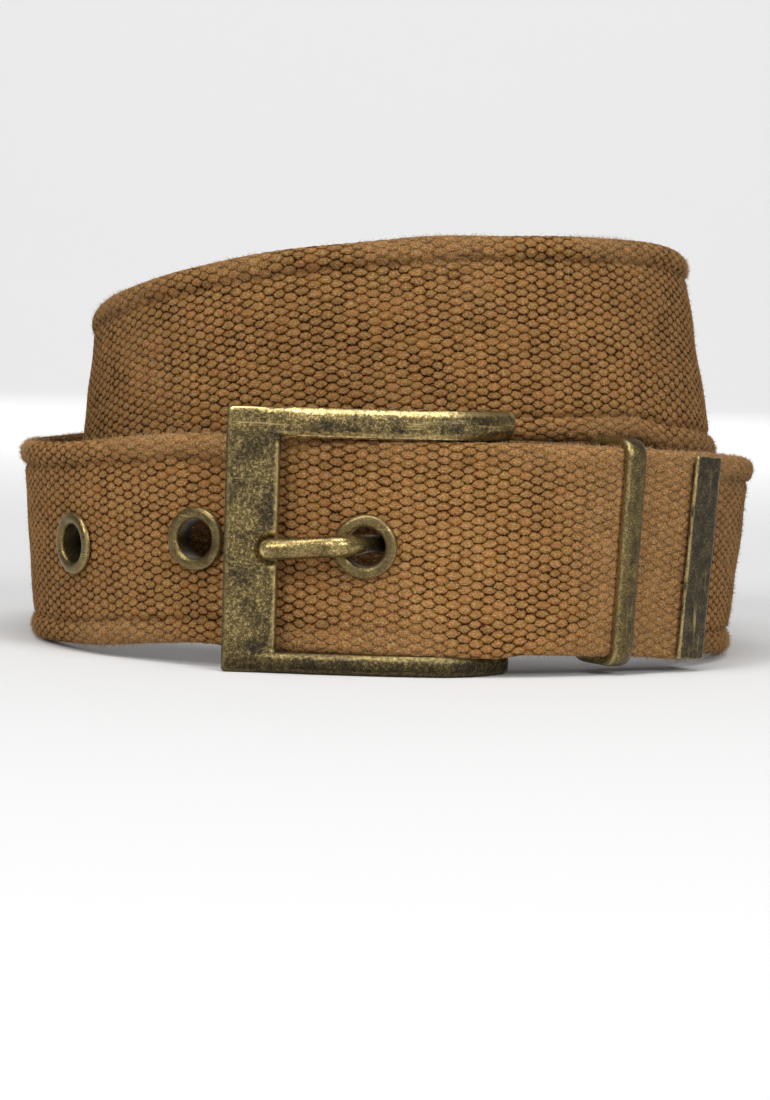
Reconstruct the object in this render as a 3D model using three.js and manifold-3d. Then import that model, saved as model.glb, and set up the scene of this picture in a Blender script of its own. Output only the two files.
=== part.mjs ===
// Canvas web belt, fastened and coiled in two turns, standing on its lower edge.
// Millimetres, +Z up. The front of the coil faces -Y and +X is to the right. The pieces are drawn about
// the coil's own middle, and the whole belt is then moved so that the origin is the middle of its
// footprint, at the height of the surface that it rests on.

import * as THREE from "three";
import { mergeVertices } from "three/addons/utils/BufferGeometryUtils.js";
import Module from "manifold-3d";

const wasm = await Module();
wasm.setup();

// Webbing: one thick woven strap with a rolled rim along each edge.
const STRAP_WIDTH = 38;
const STRAP_THICKNESS = 2.6;
const RIM_WIDTH = 4.5;
const RIM_PROUD = 0.45;

// Coil: the radius of the lower turn, and the step from one pressed layer to the next.
const COIL_RADIUS = 68.5;
const LAYER_PITCH = 3.3;
const BACK_STRETCH = 1.22;
const SEAT_GAP = 0.3;

// Buckle frame: front bar on the left, two bowed side bars, and the hidden heel bar on the right.
const FRONT_BAR_WIDTH = 9.7;
const FRONT_BAR_DEPTH = 3.7;
const FRONT_BAR_LEFT = -28.6;
const LOWER_BAR_HEIGHT = 3.8;
const UPPER_BAR_HEIGHT = 5.2;
const SIDE_BAR_DEPTH = 4;
const SIDE_BAR_BOW = 2.1;
const FRAME_EDGE = 0.6;
const FRONT_BAR_CORNER = 1.1;
const HEEL_TURN = 18;
const HEEL_BAR_DIAMETER = 3.6;
const HEEL_END_RADIUS = 3;
const NOTCH_DEPTH = 1;
const NOTCH_HEIGHT = 6;

// Prong: a round rod looped round the heel bar, necked where it dips through an eyelet.
// Its tip reaches PRONG_TIP_REACH over the front bar, where a groove takes it.
// It crosses the flange's edge PRONG_EDGE_REACH before it and PRONG_EDGE_RETURN inside it, dips by
// PRONG_DIP each way, and runs to the loop from PRONG_RUN_IN before the strap's fold.
const PRONG_DIAMETER = 4;
const PRONG_NECK = 3.2;
const PRONG_LOOP_WALL = 1.4;
const PRONG_TIP_REACH = 3.3;
const PRONG_TIP_DROP = 0.4;
const PRONG_SLANT = 56;
const PRONG_DIP = 2.4;
const PRONG_EDGE_REACH = 1;
const PRONG_EDGE_RETURN = 1.4;
const PRONG_RUN_IN = 4;
const PRONG_RUN_IN_BACK = 1.6;
const PRONG_LOOP_BACK = 0.4;
const SLOT_LENGTH = 12;

// Eyelets: one-piece brass rings, a flange on each face and a barrel through the strap.
// EYELET_SPACING is measured along the strap.
const EYELET_FLANGE = 11.6;
const EYELET_HOLE = 7.2;
const EYELET_WALL = 0.6;
const EYELET_CROWN = 0.35;
const EYELET_SPACING = 31.7;
const EYELET_COUNT = 3;
const EYELET_USED_TURN = 717.5;

// Keeper loop and the metal cap on the strap's tip.
const KEEPER_TURN = 37;
const KEEPER_WIDTH = 4.4;
const KEEPER_WALL = 1.2;
const KEEPER_CORNER = 3;
const KEEPER_INNER_CORNER = 1.4;
const KEEPER_SLACK = 0.4;
const CAP_WIDTH = 7.8;
const CAP_WALL = 0.85;
const CAP_HEIGHT = 37.6;
const CAP_SLACK = 0.5;

// Worked out from the sizes above.
const HALF_TURN = 180;
const DEGREE = Math.PI / HALF_TURN;
const FOLD_RADIUS = HEEL_BAR_DIAMETER / 2 + SEAT_GAP + STRAP_THICKNESS / 2;
const STRAP_BOTTOM_AT_BUCKLE = LOWER_BAR_HEIGHT + SEAT_GAP;
const FRAME_HEIGHT = STRAP_BOTTOM_AT_BUCKLE + STRAP_WIDTH + SEAT_GAP + UPPER_BAR_HEIGHT;
const STRAP_MIDDLE_AT_BUCKLE = STRAP_BOTTOM_AT_BUCKLE + STRAP_WIDTH / 2;
const AT_BUCKLE = STRAP_BOTTOM_AT_BUCKLE / STRAP_WIDTH;

// The strap's run from the heel bar to its tip. turn is in degrees round the coil: 0 front, 90 right,
// 180 back, 270 left. out is the distance outside COIL_RADIUS in layer pitches, rise is the height of
// the lower edge as a share of STRAP_WIDTH, lean is how far the top edge tips outwards in degrees, and
// rim is how much of the rolled rim is left where other pieces press on it.
const OUTER_RUN = [
  { turn: 18, out: 0, rise: AT_BUCKLE, lean: 0, rim: 0 },
  { turn: 37, out: 0, rise: 0.092, lean: 1.5, rim: 0 },
  { turn: 56, out: 0, rise: 0.06, lean: 2.5, rim: 0.4 },
  { turn: 75, out: 0, rise: 0.03, lean: 4.8, rim: 1 },
  { turn: 90, out: -0.08, rise: 0.002, lean: 6.6, rim: 1 },
  { turn: 105, out: -0.61, rise: 0.002, lean: 3, rim: 1 },
  { turn: 120, out: -1.36, rise: 0.001, lean: 0, rim: 1 },
  { turn: 135, out: -1.97, rise: 0.01, lean: -1, rim: 1 },
  { turn: 150, out: -2.12, rise: 0.053, lean: -1, rim: 1 },
  { turn: 180, out: -2.42, rise: 0.21, lean: 0, rim: 1 },
  { turn: 210, out: -2.73, rise: 0.37, lean: -1, rim: 1 },
  { turn: 240, out: -3.03, rise: 0.51, lean: -3, rim: 1 },
  { turn: 270, out: -3.21, rise: 0.65, lean: -5, rim: 1 },
  { turn: 303, out: -3.21, rise: 0.81, lean: -6, rim: 1 },
  { turn: 321, out: -3.35, rise: 0.905, lean: -6.5, rim: 1 },
  { turn: 346, out: -3.6, rise: 1.02, lean: -7, rim: 1 },
  { turn: 360, out: -3.75, rise: 1.06, lean: -7.5, rim: 1 },
  { turn: 375, out: -3.95, rise: 1.095, lean: -8, rim: 1 },
  { turn: 391, out: -3.85, rise: 1.105, lean: -8.5, rim: 1 },
  { turn: 410, out: -3.5, rise: 1.112, lean: -9, rim: 1 },
  { turn: 430, out: -3.15, rise: 1.09, lean: -10, rim: 1 },
  { turn: 450, out: -2.76, rise: 1.04, lean: -10.5, rim: 1 },
  { turn: 465, out: -2.2, rise: 1.03, lean: -11, rim: 1 },
  { turn: 480, out: -1.5, rise: 1.025, lean: -12, rim: 1 },
  { turn: 492, out: -0.6, rise: 0.985, lean: -10, rim: 1 },
  { turn: 510, out: -0.3, rise: 0.87, lean: -5, rim: 1 },
  { turn: 540, out: -0.4, rise: 0.555, lean: 0, rim: 1 },
  { turn: 570, out: -0.3, rise: 0.225, lean: 1, rim: 1 },
  { turn: 600, out: -0.15, rise: 0.012, lean: 3, rim: 1 },
  { turn: 620, out: 0, rise: 0.002, lean: 4.2, rim: 1 },
  { turn: 632, out: 0, rise: 0.002, lean: 4.6, rim: 1 },
  { turn: 660, out: 0, rise: 0.026, lean: 3, rim: 1 },
  { turn: 680, out: 0, rise: 0.08, lean: 1, rim: 1 },
  { turn: 692, out: 0, rise: AT_BUCKLE, lean: 0, rim: 0.8 },
  { turn: 702, out: 0, rise: AT_BUCKLE, lean: 0, rim: 0.25 },
  { turn: 717.5, out: 0.52, rise: AT_BUCKLE, lean: 0, rim: 0.25 },
  { turn: 733, out: 1, rise: AT_BUCKLE, lean: 0, rim: 0 },
  { turn: 757, out: 1, rise: 0.092, lean: 1.5, rim: 0 },
  { turn: 763, out: 1.12, rise: 0.08, lean: 1.8, rim: 0 },
  { turn: 768, out: 1.35, rise: 0.065, lean: 2, rim: 0 },
  { turn: 773, out: 1.4, rise: 0.055, lean: 2, rim: 0 },
];

// The short end that folds round the heel bar and lies inside the coil, caught by the keeper.
const INNER_RUN = [
  { turn: 18, out: (-2 * FOLD_RADIUS) / LAYER_PITCH, rise: AT_BUCKLE, lean: 0, rim: 0 },
  { turn: 23, out: -1.85, rise: AT_BUCKLE, lean: 0, rim: 0 },
  { turn: 32, out: -1.05, rise: 0.099, lean: 1, rim: 0 },
  { turn: 37, out: -1, rise: 0.092, lean: 1.5, rim: 0 },
  { turn: 47, out: -1, rise: 0.075, lean: 2, rim: 0 },
];

// Half of the strap's section, from an edge inwards. edge is a share of RIM_WIDTH, body a share of half
// the thickness, and rim a share of RIM_PROUD.
const STRAP_SECTION = [
  { edge: 0, body: 0.5, rim: 0 },
  { edge: 0.22, body: 1, rim: 0.7 },
  { edge: 0.72, body: 1, rim: 1 },
  { edge: 1.05, body: 1, rim: 0 },
];

const OUTER_STEP = 5;
const INNER_STEP = 4;
const FOLD_STEPS = 8;
const ROUND_SIDES = 20;
const PRONG_SIDES = 12;
const PRONG_STATIONS = 26;
const BAR_STATIONS = 14;
const BAR_END_STEPS = 7;

const CANVAS = { color: 0x9a6c3a, roughness: 0.95, metalness: 0 };
const ANTIQUE_BRASS = { color: 0x6e5630, roughness: 0.45, metalness: 0.9 };
const DARK_BRASS = { color: 0x54452c, roughness: 0.5, metalness: 0.9 };

// Value of one column of a table at a turn, on a smooth curve that never overshoots its rows.
function along(table, column, turn) {
  const last = table.length - 1;
  if (turn <= table[0].turn) return table[0][column];
  if (turn >= table[last].turn) return table[last][column];
  const slopeOf = (i) => (table[i + 1][column] - table[i][column]) / (table[i + 1].turn - table[i].turn);
  const tangentOf = (i) => {
    if (i === 0) return slopeOf(0);
    if (i === last) return slopeOf(last - 1);
    const before = slopeOf(i - 1);
    const after = slopeOf(i);
    return before * after <= 0 ? 0 : (2 * before * after) / (before + after);
  };
  let row = 0;
  while (table[row + 1].turn < turn) row += 1;
  const span = table[row + 1].turn - table[row].turn;
  const t = (turn - table[row].turn) / span;
  const start = table[row][column];
  const rest = table[row + 1][column] - start;
  const curve = t * t * (3 - 2 * t);
  const lead = t * (1 - t) * (1 - t) * tangentOf(row);
  const trail = t * t * (t - 1) * tangentOf(row + 1);
  return start + rest * curve + span * (lead + trail);
}

// Point of the plan at a turn and a radius. The back of the coil is longer than its front.
function planPoint(turn, radius) {
  const angle = turn * DEGREE;
  const depth = -radius * Math.cos(angle);
  return new THREE.Vector2(radius * Math.sin(angle), depth > 0 ? depth * BACK_STRETCH : depth);
}

const HEEL = planPoint(HEEL_TURN, COIL_RADIUS - FOLD_RADIUS);
const HEEL_OUTWARD = new THREE.Vector2(Math.sin(HEEL_TURN * DEGREE), -Math.cos(HEEL_TURN * DEGREE));
const HEEL_FORWARD = new THREE.Vector2(Math.cos(HEEL_TURN * DEGREE), Math.sin(HEEL_TURN * DEGREE));

// One station of the strap: the plan point of its middle, its lower edge, its lean and its rims.
function runStation(table, turn, side) {
  const radius = COIL_RADIUS + along(table, "out", turn) * LAYER_PITCH;
  return {
    turn,
    plan: planPoint(turn, radius),
    bottom: along(table, "rise", turn) * STRAP_WIDTH,
    lean: side * along(table, "lean", turn),
    rim: along(table, "rim", turn),
  };
}

// Stations of the whole strap, from its hidden end round the heel bar and the coil to the tip.
function strapStations() {
  const stations = [];
  const innerEnd = INNER_RUN[INNER_RUN.length - 1].turn;
  const tip = OUTER_RUN[OUTER_RUN.length - 1].turn;
  for (let turn = innerEnd; turn > HEEL_TURN; turn -= INNER_STEP) {
    stations.push(runStation(INNER_RUN, turn, -1));
  }
  for (let i = 0; i < FOLD_STEPS; i += 1) {
    const bend = (HALF_TURN * i * DEGREE) / FOLD_STEPS;
    const plan = HEEL.clone()
      .addScaledVector(HEEL_OUTWARD, -FOLD_RADIUS * Math.cos(bend))
      .addScaledVector(HEEL_FORWARD, -FOLD_RADIUS * Math.sin(bend));
    stations.push({ turn: HEEL_TURN, plan, bottom: STRAP_BOTTOM_AT_BUCKLE, lean: 0, rim: 0 });
  }
  for (let turn = HEEL_TURN; turn < tip - OUTER_STEP / 2; turn += OUTER_STEP) {
    stations.push(runStation(OUTER_RUN, turn, 1));
  }
  stations.push(runStation(OUTER_RUN, tip, 1));
  return stations;
}

// Axes of a station: centre of the section, along the strap, out of its face, and up its width.
function axesOf(before, station, after) {
  const centreOf = (s) =>
    new THREE.Vector3(s.plan.x, s.plan.y, s.bottom + (STRAP_WIDTH / 2) * Math.cos(s.lean * DEGREE));
  const forward = centreOf(after).sub(centreOf(before)).normalize();
  const out = new THREE.Vector3(forward.y, -forward.x, 0).normalize();
  const across = new THREE.Vector3(0, 0, 1).addScaledVector(forward, -forward.z).normalize();
  const lean = station.lean * DEGREE;
  const up = across.clone().multiplyScalar(Math.cos(lean)).addScaledVector(out, Math.sin(lean));
  const face = out.clone().multiplyScalar(Math.cos(lean)).addScaledVector(across, -Math.sin(lean));
  return { centre: centreOf(station), forward, out: face, up };
}

// Axes of the outer run at any turn, for the pieces that sit on it.
function axesAt(turn) {
  const near = 0.5;
  const [before, here, after] = [turn - near, turn, turn + near].map((t) => runStation(OUTER_RUN, t, 1));
  return axesOf(before, here, after);
}

// Puts geometry drawn with x out of the strap's face, y up its width and z back along it at some axes.
function placeAt(geometry, axes) {
  const back = axes.forward.clone().negate();
  const matrix = new THREE.Matrix4().makeBasis(axes.out, axes.up, back).setPosition(axes.centre);
  return geometry.applyMatrix4(matrix);
}

// Closed skin through rings of points. Each ring runs up one side and down the other, so its two ends
// are closed by a ladder between the sides.
function loft(rings) {
  const size = rings[0].length;
  const vertices = rings.flat().flatMap((p) => [p.x, p.y, p.z]);
  const faces = [];
  for (let r = 0; r + 1 < rings.length; r += 1) {
    for (let i = 0; i < size; i += 1) {
      const a = r * size + i;
      const b = r * size + ((i + 1) % size);
      faces.push(a, b, b + size, a, b + size, a + size);
    }
  }
  const lastRing = (rings.length - 1) * size;
  for (let i = 0; i + 1 < size / 2; i += 1) {
    const j = size - 1 - i;
    faces.push(i, j, j - 1, i, j - 1, i + 1);
    faces.push(lastRing + i, lastRing + j - 1, lastRing + j);
    faces.push(lastRing + i, lastRing + i + 1, lastRing + j - 1);
  }
  const geometry = new THREE.BufferGeometry();
  geometry.setAttribute("position", new THREE.Float32BufferAttribute(vertices, 3));
  geometry.setIndex(faces);
  return geometry;
}

// Manifold solid of a closed geometry, turned the right way out if it is inside out.
function solid(geometry) {
  const bare = geometry.index ? geometry.clone() : geometry;
  bare.deleteAttribute("normal");
  bare.deleteAttribute("uv");
  const merged = mergeVertices(bare, 1e-4);
  const vertProperties = new Float32Array(merged.attributes.position.array);
  const triVerts = new Uint32Array(merged.index.array);
  if (signedVolume(vertProperties, triVerts) < 0) {
    for (let i = 0; i < triVerts.length; i += 3) {
      [triVerts[i], triVerts[i + 1]] = [triVerts[i + 1], triVerts[i]];
    }
  }
  return new wasm.Manifold(new wasm.Mesh({ numProp: 3, vertProperties, triVerts }));
}

function signedVolume(vertices, faces) {
  const corner = (i) => new THREE.Vector3().fromArray(vertices, 3 * faces[i]);
  let volume = 0;
  for (let i = 0; i < faces.length; i += 3) {
    volume += corner(i).dot(corner(i + 1).cross(corner(i + 2)));
  }
  return volume;
}

// Geometry of a manifold solid, for a mesh.
function geometryOf(body) {
  const { vertProperties, triVerts, numProp } = body.getMesh();
  const positions = [];
  for (let i = 0; i < vertProperties.length; i += numProp) {
    positions.push(vertProperties[i], vertProperties[i + 1], vertProperties[i + 2]);
  }
  const geometry = new THREE.BufferGeometry();
  geometry.setAttribute("position", new THREE.Float32BufferAttribute(positions, 3));
  geometry.setIndex([...triVerts]);
  geometry.computeVertexNormals();
  return geometry;
}

function piece(name, body, finish) {
  const mesh = new THREE.Mesh(geometryOf(body), new THREE.MeshStandardMaterial(finish));
  mesh.name = name;
  return mesh;
}

// Shape with rounded corners, centred on the origin.
function roundedRectangle(width, height, radius) {
  const x = width / 2 - radius;
  const y = height / 2 - radius;
  const shape = new THREE.Shape();
  shape.absarc(x, y, radius, 0, Math.PI / 2);
  shape.absarc(-x, y, radius, Math.PI / 2, Math.PI);
  shape.absarc(-x, -y, radius, Math.PI, 1.5 * Math.PI);
  shape.absarc(x, -y, radius, 1.5 * Math.PI, 2 * Math.PI);
  return shape;
}

// Eyelets.
function eyeletAxes(index) {
  const turn = EYELET_SPACING / COIL_RADIUS / DEGREE;
  return axesAt(EYELET_USED_TURN - index * turn);
}

// The coil's curve brings the strap's inner face nearer to the flat inner flange at the flange's edge.
const INNER_FLANGE_GAP = SEAT_GAP + EYELET_FLANGE ** 2 / 8 / COIL_RADIUS;
const BARREL_OUTSIDE = EYELET_HOLE / 2 + EYELET_WALL;
const OUTER_FACE = STRAP_THICKNESS / 2 + SEAT_GAP;
const INNER_FACE = STRAP_THICKNESS / 2 + INNER_FLANGE_GAP;

function eyelet(index) {
  const flange = EYELET_FLANGE / 2;
  const hole = EYELET_HOLE / 2;
  const lip = hole + EYELET_WALL + EYELET_CROWN;
  const top = OUTER_FACE + EYELET_WALL;
  const bottom = INNER_FACE + EYELET_WALL;
  const profile = [
    [hole, -bottom + EYELET_WALL],
    [hole, top - EYELET_WALL],
    [lip - EYELET_WALL / 2, top + EYELET_CROWN * 0.7],
    [(lip + flange) / 2, top + EYELET_CROWN],
    [flange - EYELET_CROWN, top],
    [flange, OUTER_FACE],
    [BARREL_OUTSIDE, OUTER_FACE],
    [BARREL_OUTSIDE, -INNER_FACE],
    [flange, -INNER_FACE],
    [flange - EYELET_CROWN, -bottom],
    [lip, -bottom],
    [hole, -bottom + EYELET_WALL],
  ].map(([radius, height]) => new THREE.Vector2(radius, height));
  const ring = new THREE.LatheGeometry(profile, ROUND_SIDES).rotateZ(-Math.PI / 2);
  return solid(placeAt(ring, eyeletAxes(index)));
}

function eyeletHole(index) {
  const radius = BARREL_OUTSIDE + SEAT_GAP;
  const drill = new THREE.CylinderGeometry(radius, radius, 3 * STRAP_THICKNESS, ROUND_SIDES);
  return solid(placeAt(drill.rotateZ(-Math.PI / 2), eyeletAxes(index)));
}

// Webbing strap.
function strapRing(axes, rim) {
  const point = (side, edge, body, proud) => {
    const height = side.up * (STRAP_WIDTH / 2 - edge * RIM_WIDTH);
    const out = side.out * ((body * STRAP_THICKNESS) / 2 + proud * rim * RIM_PROUD);
    return axes.centre.clone().addScaledVector(axes.up, height).addScaledVector(axes.out, out);
  };
  const quarter = (out, up) => STRAP_SECTION.map((row) => point({ out, up }, row.edge, row.body, row.rim));
  return [
    ...quarter(1, -1),
    ...quarter(1, 1).reverse(),
    ...quarter(-1, 1),
    ...quarter(-1, -1).reverse(),
  ];
}

function prongSlot() {
  const height = PRONG_DIAMETER + 2 * SEAT_GAP;
  const reach = FOLD_RADIUS + STRAP_THICKNESS / 2 + SEAT_GAP;
  const box = new THREE.BoxGeometry(SLOT_LENGTH, 2 * reach, height);
  box.translate(SLOT_LENGTH / 2 - reach - SEAT_GAP, 0, 0).rotateZ(HEEL_TURN * DEGREE);
  return solid(box.translate(HEEL.x, HEEL.y, STRAP_MIDDLE_AT_BUCKLE));
}

function webbingStrap() {
  const stations = strapStations();
  const rings = stations.map((station, i) => {
    const before = stations[Math.max(i - 1, 0)];
    const after = stations[Math.min(i + 1, stations.length - 1)];
    return strapRing(axesOf(before, station, after), station.rim);
  });
  let body = solid(loft(rings)).subtract(prongSlot());
  for (let i = 0; i < EYELET_COUNT; i += 1) body = body.subtract(eyeletHole(i));
  return body;
}

// Buckle frame.
const USED = eyeletAxes(0);
const FRONT_BAR_RIGHT = FRONT_BAR_LEFT + FRONT_BAR_WIDTH;
const PRONG_TIP_X = FRONT_BAR_RIGHT - PRONG_TIP_REACH;
const STRAP_FACE_BEHIND_BAR = Math.sqrt((COIL_RADIUS + STRAP_THICKNESS / 2) ** 2 - FRONT_BAR_RIGHT ** 2);
const FRONT_BAR_BACK = -STRAP_FACE_BEHIND_BAR - SEAT_GAP - RIM_PROUD / 2;
const FRONT_BAR_FACE = FRONT_BAR_BACK - FRONT_BAR_DEPTH;

// Plan outline of a side bar: its depth on either side of a bowed middle line, growing to a round end
// about the heel bar.
function sideBarShape() {
  const left = FRONT_BAR_LEFT + FRONT_BAR_WIDTH / 2;
  const length = HEEL.x - left;
  const start = FRONT_BAR_FACE + SIDE_BAR_DEPTH / 2;
  const bowed = (share) => start - share * SIDE_BAR_BOW;
  const middle = new THREE.SplineCurve([
    new THREE.Vector2(left, start),
    new THREE.Vector2(left + 0.27 * length, bowed(0.8)),
    new THREE.Vector2(left + 0.58 * length, bowed(1)),
    new THREE.Vector2(left + 0.82 * length, bowed(0.3)),
    new THREE.Vector2(HEEL.x - 0.7 * HEEL_END_RADIUS, HEEL.y - 1.1 * HEEL_END_RADIUS),
    HEEL,
  ]);
  const front = [];
  const back = [];
  const tangent = new THREE.Vector2();
  for (let i = 0; i <= BAR_STATIONS; i += 1) {
    const share = i / BAR_STATIONS;
    const point = middle.getPointAt(share);
    middle.getTangentAt(share, tangent);
    const half = SIDE_BAR_DEPTH / 2 + (HEEL_END_RADIUS - SIDE_BAR_DEPTH / 2) * share ** 4;
    const across = new THREE.Vector2(tangent.y, -tangent.x);
    front.push(point.clone().addScaledVector(across, half));
    back.push(point.clone().addScaledVector(across, -half));
  }
  const round = [];
  const endAngle = Math.atan2(tangent.y, tangent.x);
  for (let i = 1; i < BAR_END_STEPS; i += 1) {
    const angle = endAngle - Math.PI / 2 + (Math.PI * i) / BAR_END_STEPS;
    const spoke = new THREE.Vector2(Math.cos(angle), Math.sin(angle));
    round.push(HEEL.clone().addScaledVector(spoke, HEEL_END_RADIUS));
  }
  return new THREE.Shape([...front, ...round, ...back.reverse()]);
}

// Bar along Z with its long edges eased.
function uprightBar(shape, bottom, top, edge) {
  const bevel = {
    depth: top - bottom - 2 * edge,
    bevelEnabled: true,
    bevelThickness: edge,
    bevelSize: edge,
    bevelOffset: -edge,
    bevelSegments: 1,
    curveSegments: 3,
  };
  return solid(new THREE.ExtrudeGeometry(shape, bevel).translate(0, 0, bottom + edge));
}

function buckleFrame() {
  const lower = uprightBar(sideBarShape(), 0, LOWER_BAR_HEIGHT, FRAME_EDGE);
  const upper = uprightBar(sideBarShape(), FRAME_HEIGHT - UPPER_BAR_HEIGHT, FRAME_HEIGHT, FRAME_EDGE);
  const bar = roundedRectangle(FRONT_BAR_WIDTH, FRONT_BAR_DEPTH, FRONT_BAR_CORNER);
  const front = new THREE.ExtrudeGeometry(bar, {
    depth: FRAME_HEIGHT - 2 * FRAME_EDGE,
    bevelThickness: FRAME_EDGE,
    bevelSize: FRAME_EDGE,
    bevelOffset: -FRAME_EDGE,
    bevelSegments: 2,
    curveSegments: 3,
  });
  front.translate(FRONT_BAR_LEFT + FRONT_BAR_WIDTH / 2, (FRONT_BAR_BACK + FRONT_BAR_FACE) / 2, FRAME_EDGE);
  const heelLength = FRAME_HEIGHT - LOWER_BAR_HEIGHT / 2 - UPPER_BAR_HEIGHT / 2;
  const heelRadius = HEEL_BAR_DIAMETER / 2;
  const heel = new THREE.CylinderGeometry(heelRadius, heelRadius, heelLength, PRONG_SIDES);
  heel.rotateX(Math.PI / 2).translate(HEEL.x, HEEL.y, LOWER_BAR_HEIGHT / 2 + heelLength / 2);
  const notchRadius = ((NOTCH_HEIGHT / 2) ** 2 + NOTCH_DEPTH ** 2) / 2 / NOTCH_DEPTH;
  const notchStart = PRONG_TIP_X + PRONG_DIAMETER / 2;
  const notchAway = FRONT_BAR_FACE + NOTCH_DEPTH - notchRadius;
  const notchLevel = STRAP_MIDDLE_AT_BUCKLE - PRONG_TIP_DROP;
  const groove = new THREE.CylinderGeometry(notchRadius, notchRadius, FRONT_BAR_WIDTH, 2 * ROUND_SIDES);
  groove.rotateZ(Math.PI / 2).translate(notchStart + FRONT_BAR_WIDTH / 2, notchAway, notchLevel);
  const grooveEnd = new THREE.SphereGeometry(notchRadius, 2 * ROUND_SIDES, ROUND_SIDES);
  grooveEnd.rotateZ(Math.PI / 2).translate(notchStart, notchAway, notchLevel);
  const notch = solid(groove).add(solid(grooveEnd));
  return lower.add(upper).add(solid(front)).add(solid(heel)).subtract(notch);
}

// Prong: from its tip in the notch, over the eyelet's flange, down through the hole, and under the
// strap to the heel bar.
function prongPoints() {
  const radius = PRONG_DIAMETER / 2;
  const neck = PRONG_NECK / 2;
  const clear = SEAT_GAP;
  const at = (out, forward) =>
    USED.centre.clone().addScaledVector(USED.out, out).addScaledVector(USED.forward, forward);
  const top = OUTER_FACE + EYELET_WALL + EYELET_CROWN;
  const bottom = INNER_FACE + EYELET_WALL;
  const run = PRONG_DIP / Math.tan(PRONG_SLANT * DEGREE);
  const tipY = FRONT_BAR_FACE + NOTCH_DEPTH - radius - clear;
  const levelY = at(top + radius + clear, 0).y;
  const slope = PRONG_TIP_DROP / (HEEL.x - PRONG_TIP_X);
  const drop = (x) => STRAP_MIDDLE_AT_BUCKLE - slope * (HEEL.x - x);
  const places = [
    new THREE.Vector3(PRONG_TIP_X, tipY, 0),
    new THREE.Vector3(PRONG_TIP_X + FRONT_BAR_WIDTH * 0.6, (tipY + levelY) / 2, 0),
    at(top + radius + clear, -EYELET_FLANGE / 2 - PRONG_EDGE_REACH),
    at(top + radius + clear, -EYELET_FLANGE / 2 + PRONG_EDGE_RETURN),
    at(PRONG_DIP, -run),
    at(0, 0),
    at(-PRONG_DIP, run),
    at(-bottom - neck - clear, EYELET_FLANGE / 2 - PRONG_EDGE_RETURN),
    new THREE.Vector3(HEEL.x - FOLD_RADIUS - PRONG_RUN_IN, HEEL.y - PRONG_RUN_IN_BACK, 0),
    new THREE.Vector3(HEEL.x - HEEL_BAR_DIAMETER / 2 - PRONG_LOOP_WALL, HEEL.y + PRONG_LOOP_BACK, 0),
  ];
  return places.map((p) => new THREE.Vector3(p.x, p.y, drop(p.x)));
}

// Thickness of the prong along its length, as shares of its length and of PRONG_DIAMETER.
const PRONG_TAPER = [
  { turn: 0, thick: 0.5 },
  { turn: 0.02, thick: 0.82 },
  { turn: 0.05, thick: 1 },
  { turn: 0.3, thick: 1 },
  { turn: 0.42, thick: PRONG_NECK / PRONG_DIAMETER },
  { turn: 0.66, thick: PRONG_NECK / PRONG_DIAMETER },
  { turn: 0.8, thick: 0.85 },
  { turn: 1, thick: 0.8 },
];

function buckleProng() {
  const curve = new THREE.CatmullRomCurve3(prongPoints(), false, "centripetal");
  const rings = [];
  for (let i = 0; i < PRONG_STATIONS; i += 1) {
    const even = i / (PRONG_STATIONS - 1);
    const share = even * even * (1 - even) + even * even;
    rings.push(prongRing(curve, Math.min(share * 0.3 + even * 0.7, 1)));
  }
  const inner = HEEL_BAR_DIAMETER / 2 + SEAT_GAP;
  const outer = inner + PRONG_LOOP_WALL;
  const half = PRONG_DIAMETER / 2;
  const profile = [
    [inner, -half],
    [outer - SEAT_GAP, -half],
    [outer, -half + SEAT_GAP],
    [outer, half - SEAT_GAP],
    [outer - SEAT_GAP, half],
    [inner, half],
    [inner, -half],
  ].map(([radius, height]) => new THREE.Vector2(radius, height));
  const loop = new THREE.LatheGeometry(profile, ROUND_SIDES).rotateX(Math.PI / 2);
  loop.translate(HEEL.x, HEEL.y, STRAP_MIDDLE_AT_BUCKLE);
  const bore = new THREE.CylinderGeometry(inner, inner, 2 * PRONG_DIAMETER, ROUND_SIDES);
  bore.rotateX(Math.PI / 2).translate(HEEL.x, HEEL.y, STRAP_MIDDLE_AT_BUCKLE);
  return solid(loft(rings)).add(solid(loop)).subtract(solid(bore));
}

function prongRing(curve, share) {
  const centre = curve.getPointAt(share);
  const forward = curve.getTangentAt(share);
  const up = new THREE.Vector3(0, 0, 1);
  const side = new THREE.Vector3().crossVectors(forward, up).normalize();
  const radius = (along(PRONG_TAPER, "thick", share) * PRONG_DIAMETER) / 2;
  const ring = [];
  for (let i = 0; i < PRONG_SIDES; i += 1) {
    const angle = ((i + 0.5) * 2 * Math.PI) / PRONG_SIDES - Math.PI / 2;
    ring.push(
      centre
        .clone()
        .addScaledVector(side, radius * Math.cos(angle))
        .addScaledVector(up, radius * Math.sin(angle)),
    );
  }
  return ring;
}

// Keeper loop: a rounded band round the three layers of the strap.
function keeperLoop() {
  const depth = 2 * LAYER_PITCH + STRAP_THICKNESS + 2 * KEEPER_SLACK;
  const height = STRAP_WIDTH + 2 * KEEPER_SLACK;
  const shape = roundedRectangle(depth + 2 * KEEPER_WALL, height + 2 * KEEPER_WALL, KEEPER_CORNER);
  shape.holes.push(roundedRectangle(depth, height, KEEPER_INNER_CORNER));
  const band = new THREE.ExtrudeGeometry(shape, {
    depth: KEEPER_WIDTH,
    bevelEnabled: false,
    curveSegments: 4,
  });
  return solid(placeAt(band.translate(0, 0, -KEEPER_WIDTH / 2), axesAt(KEEPER_TURN)));
}

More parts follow.
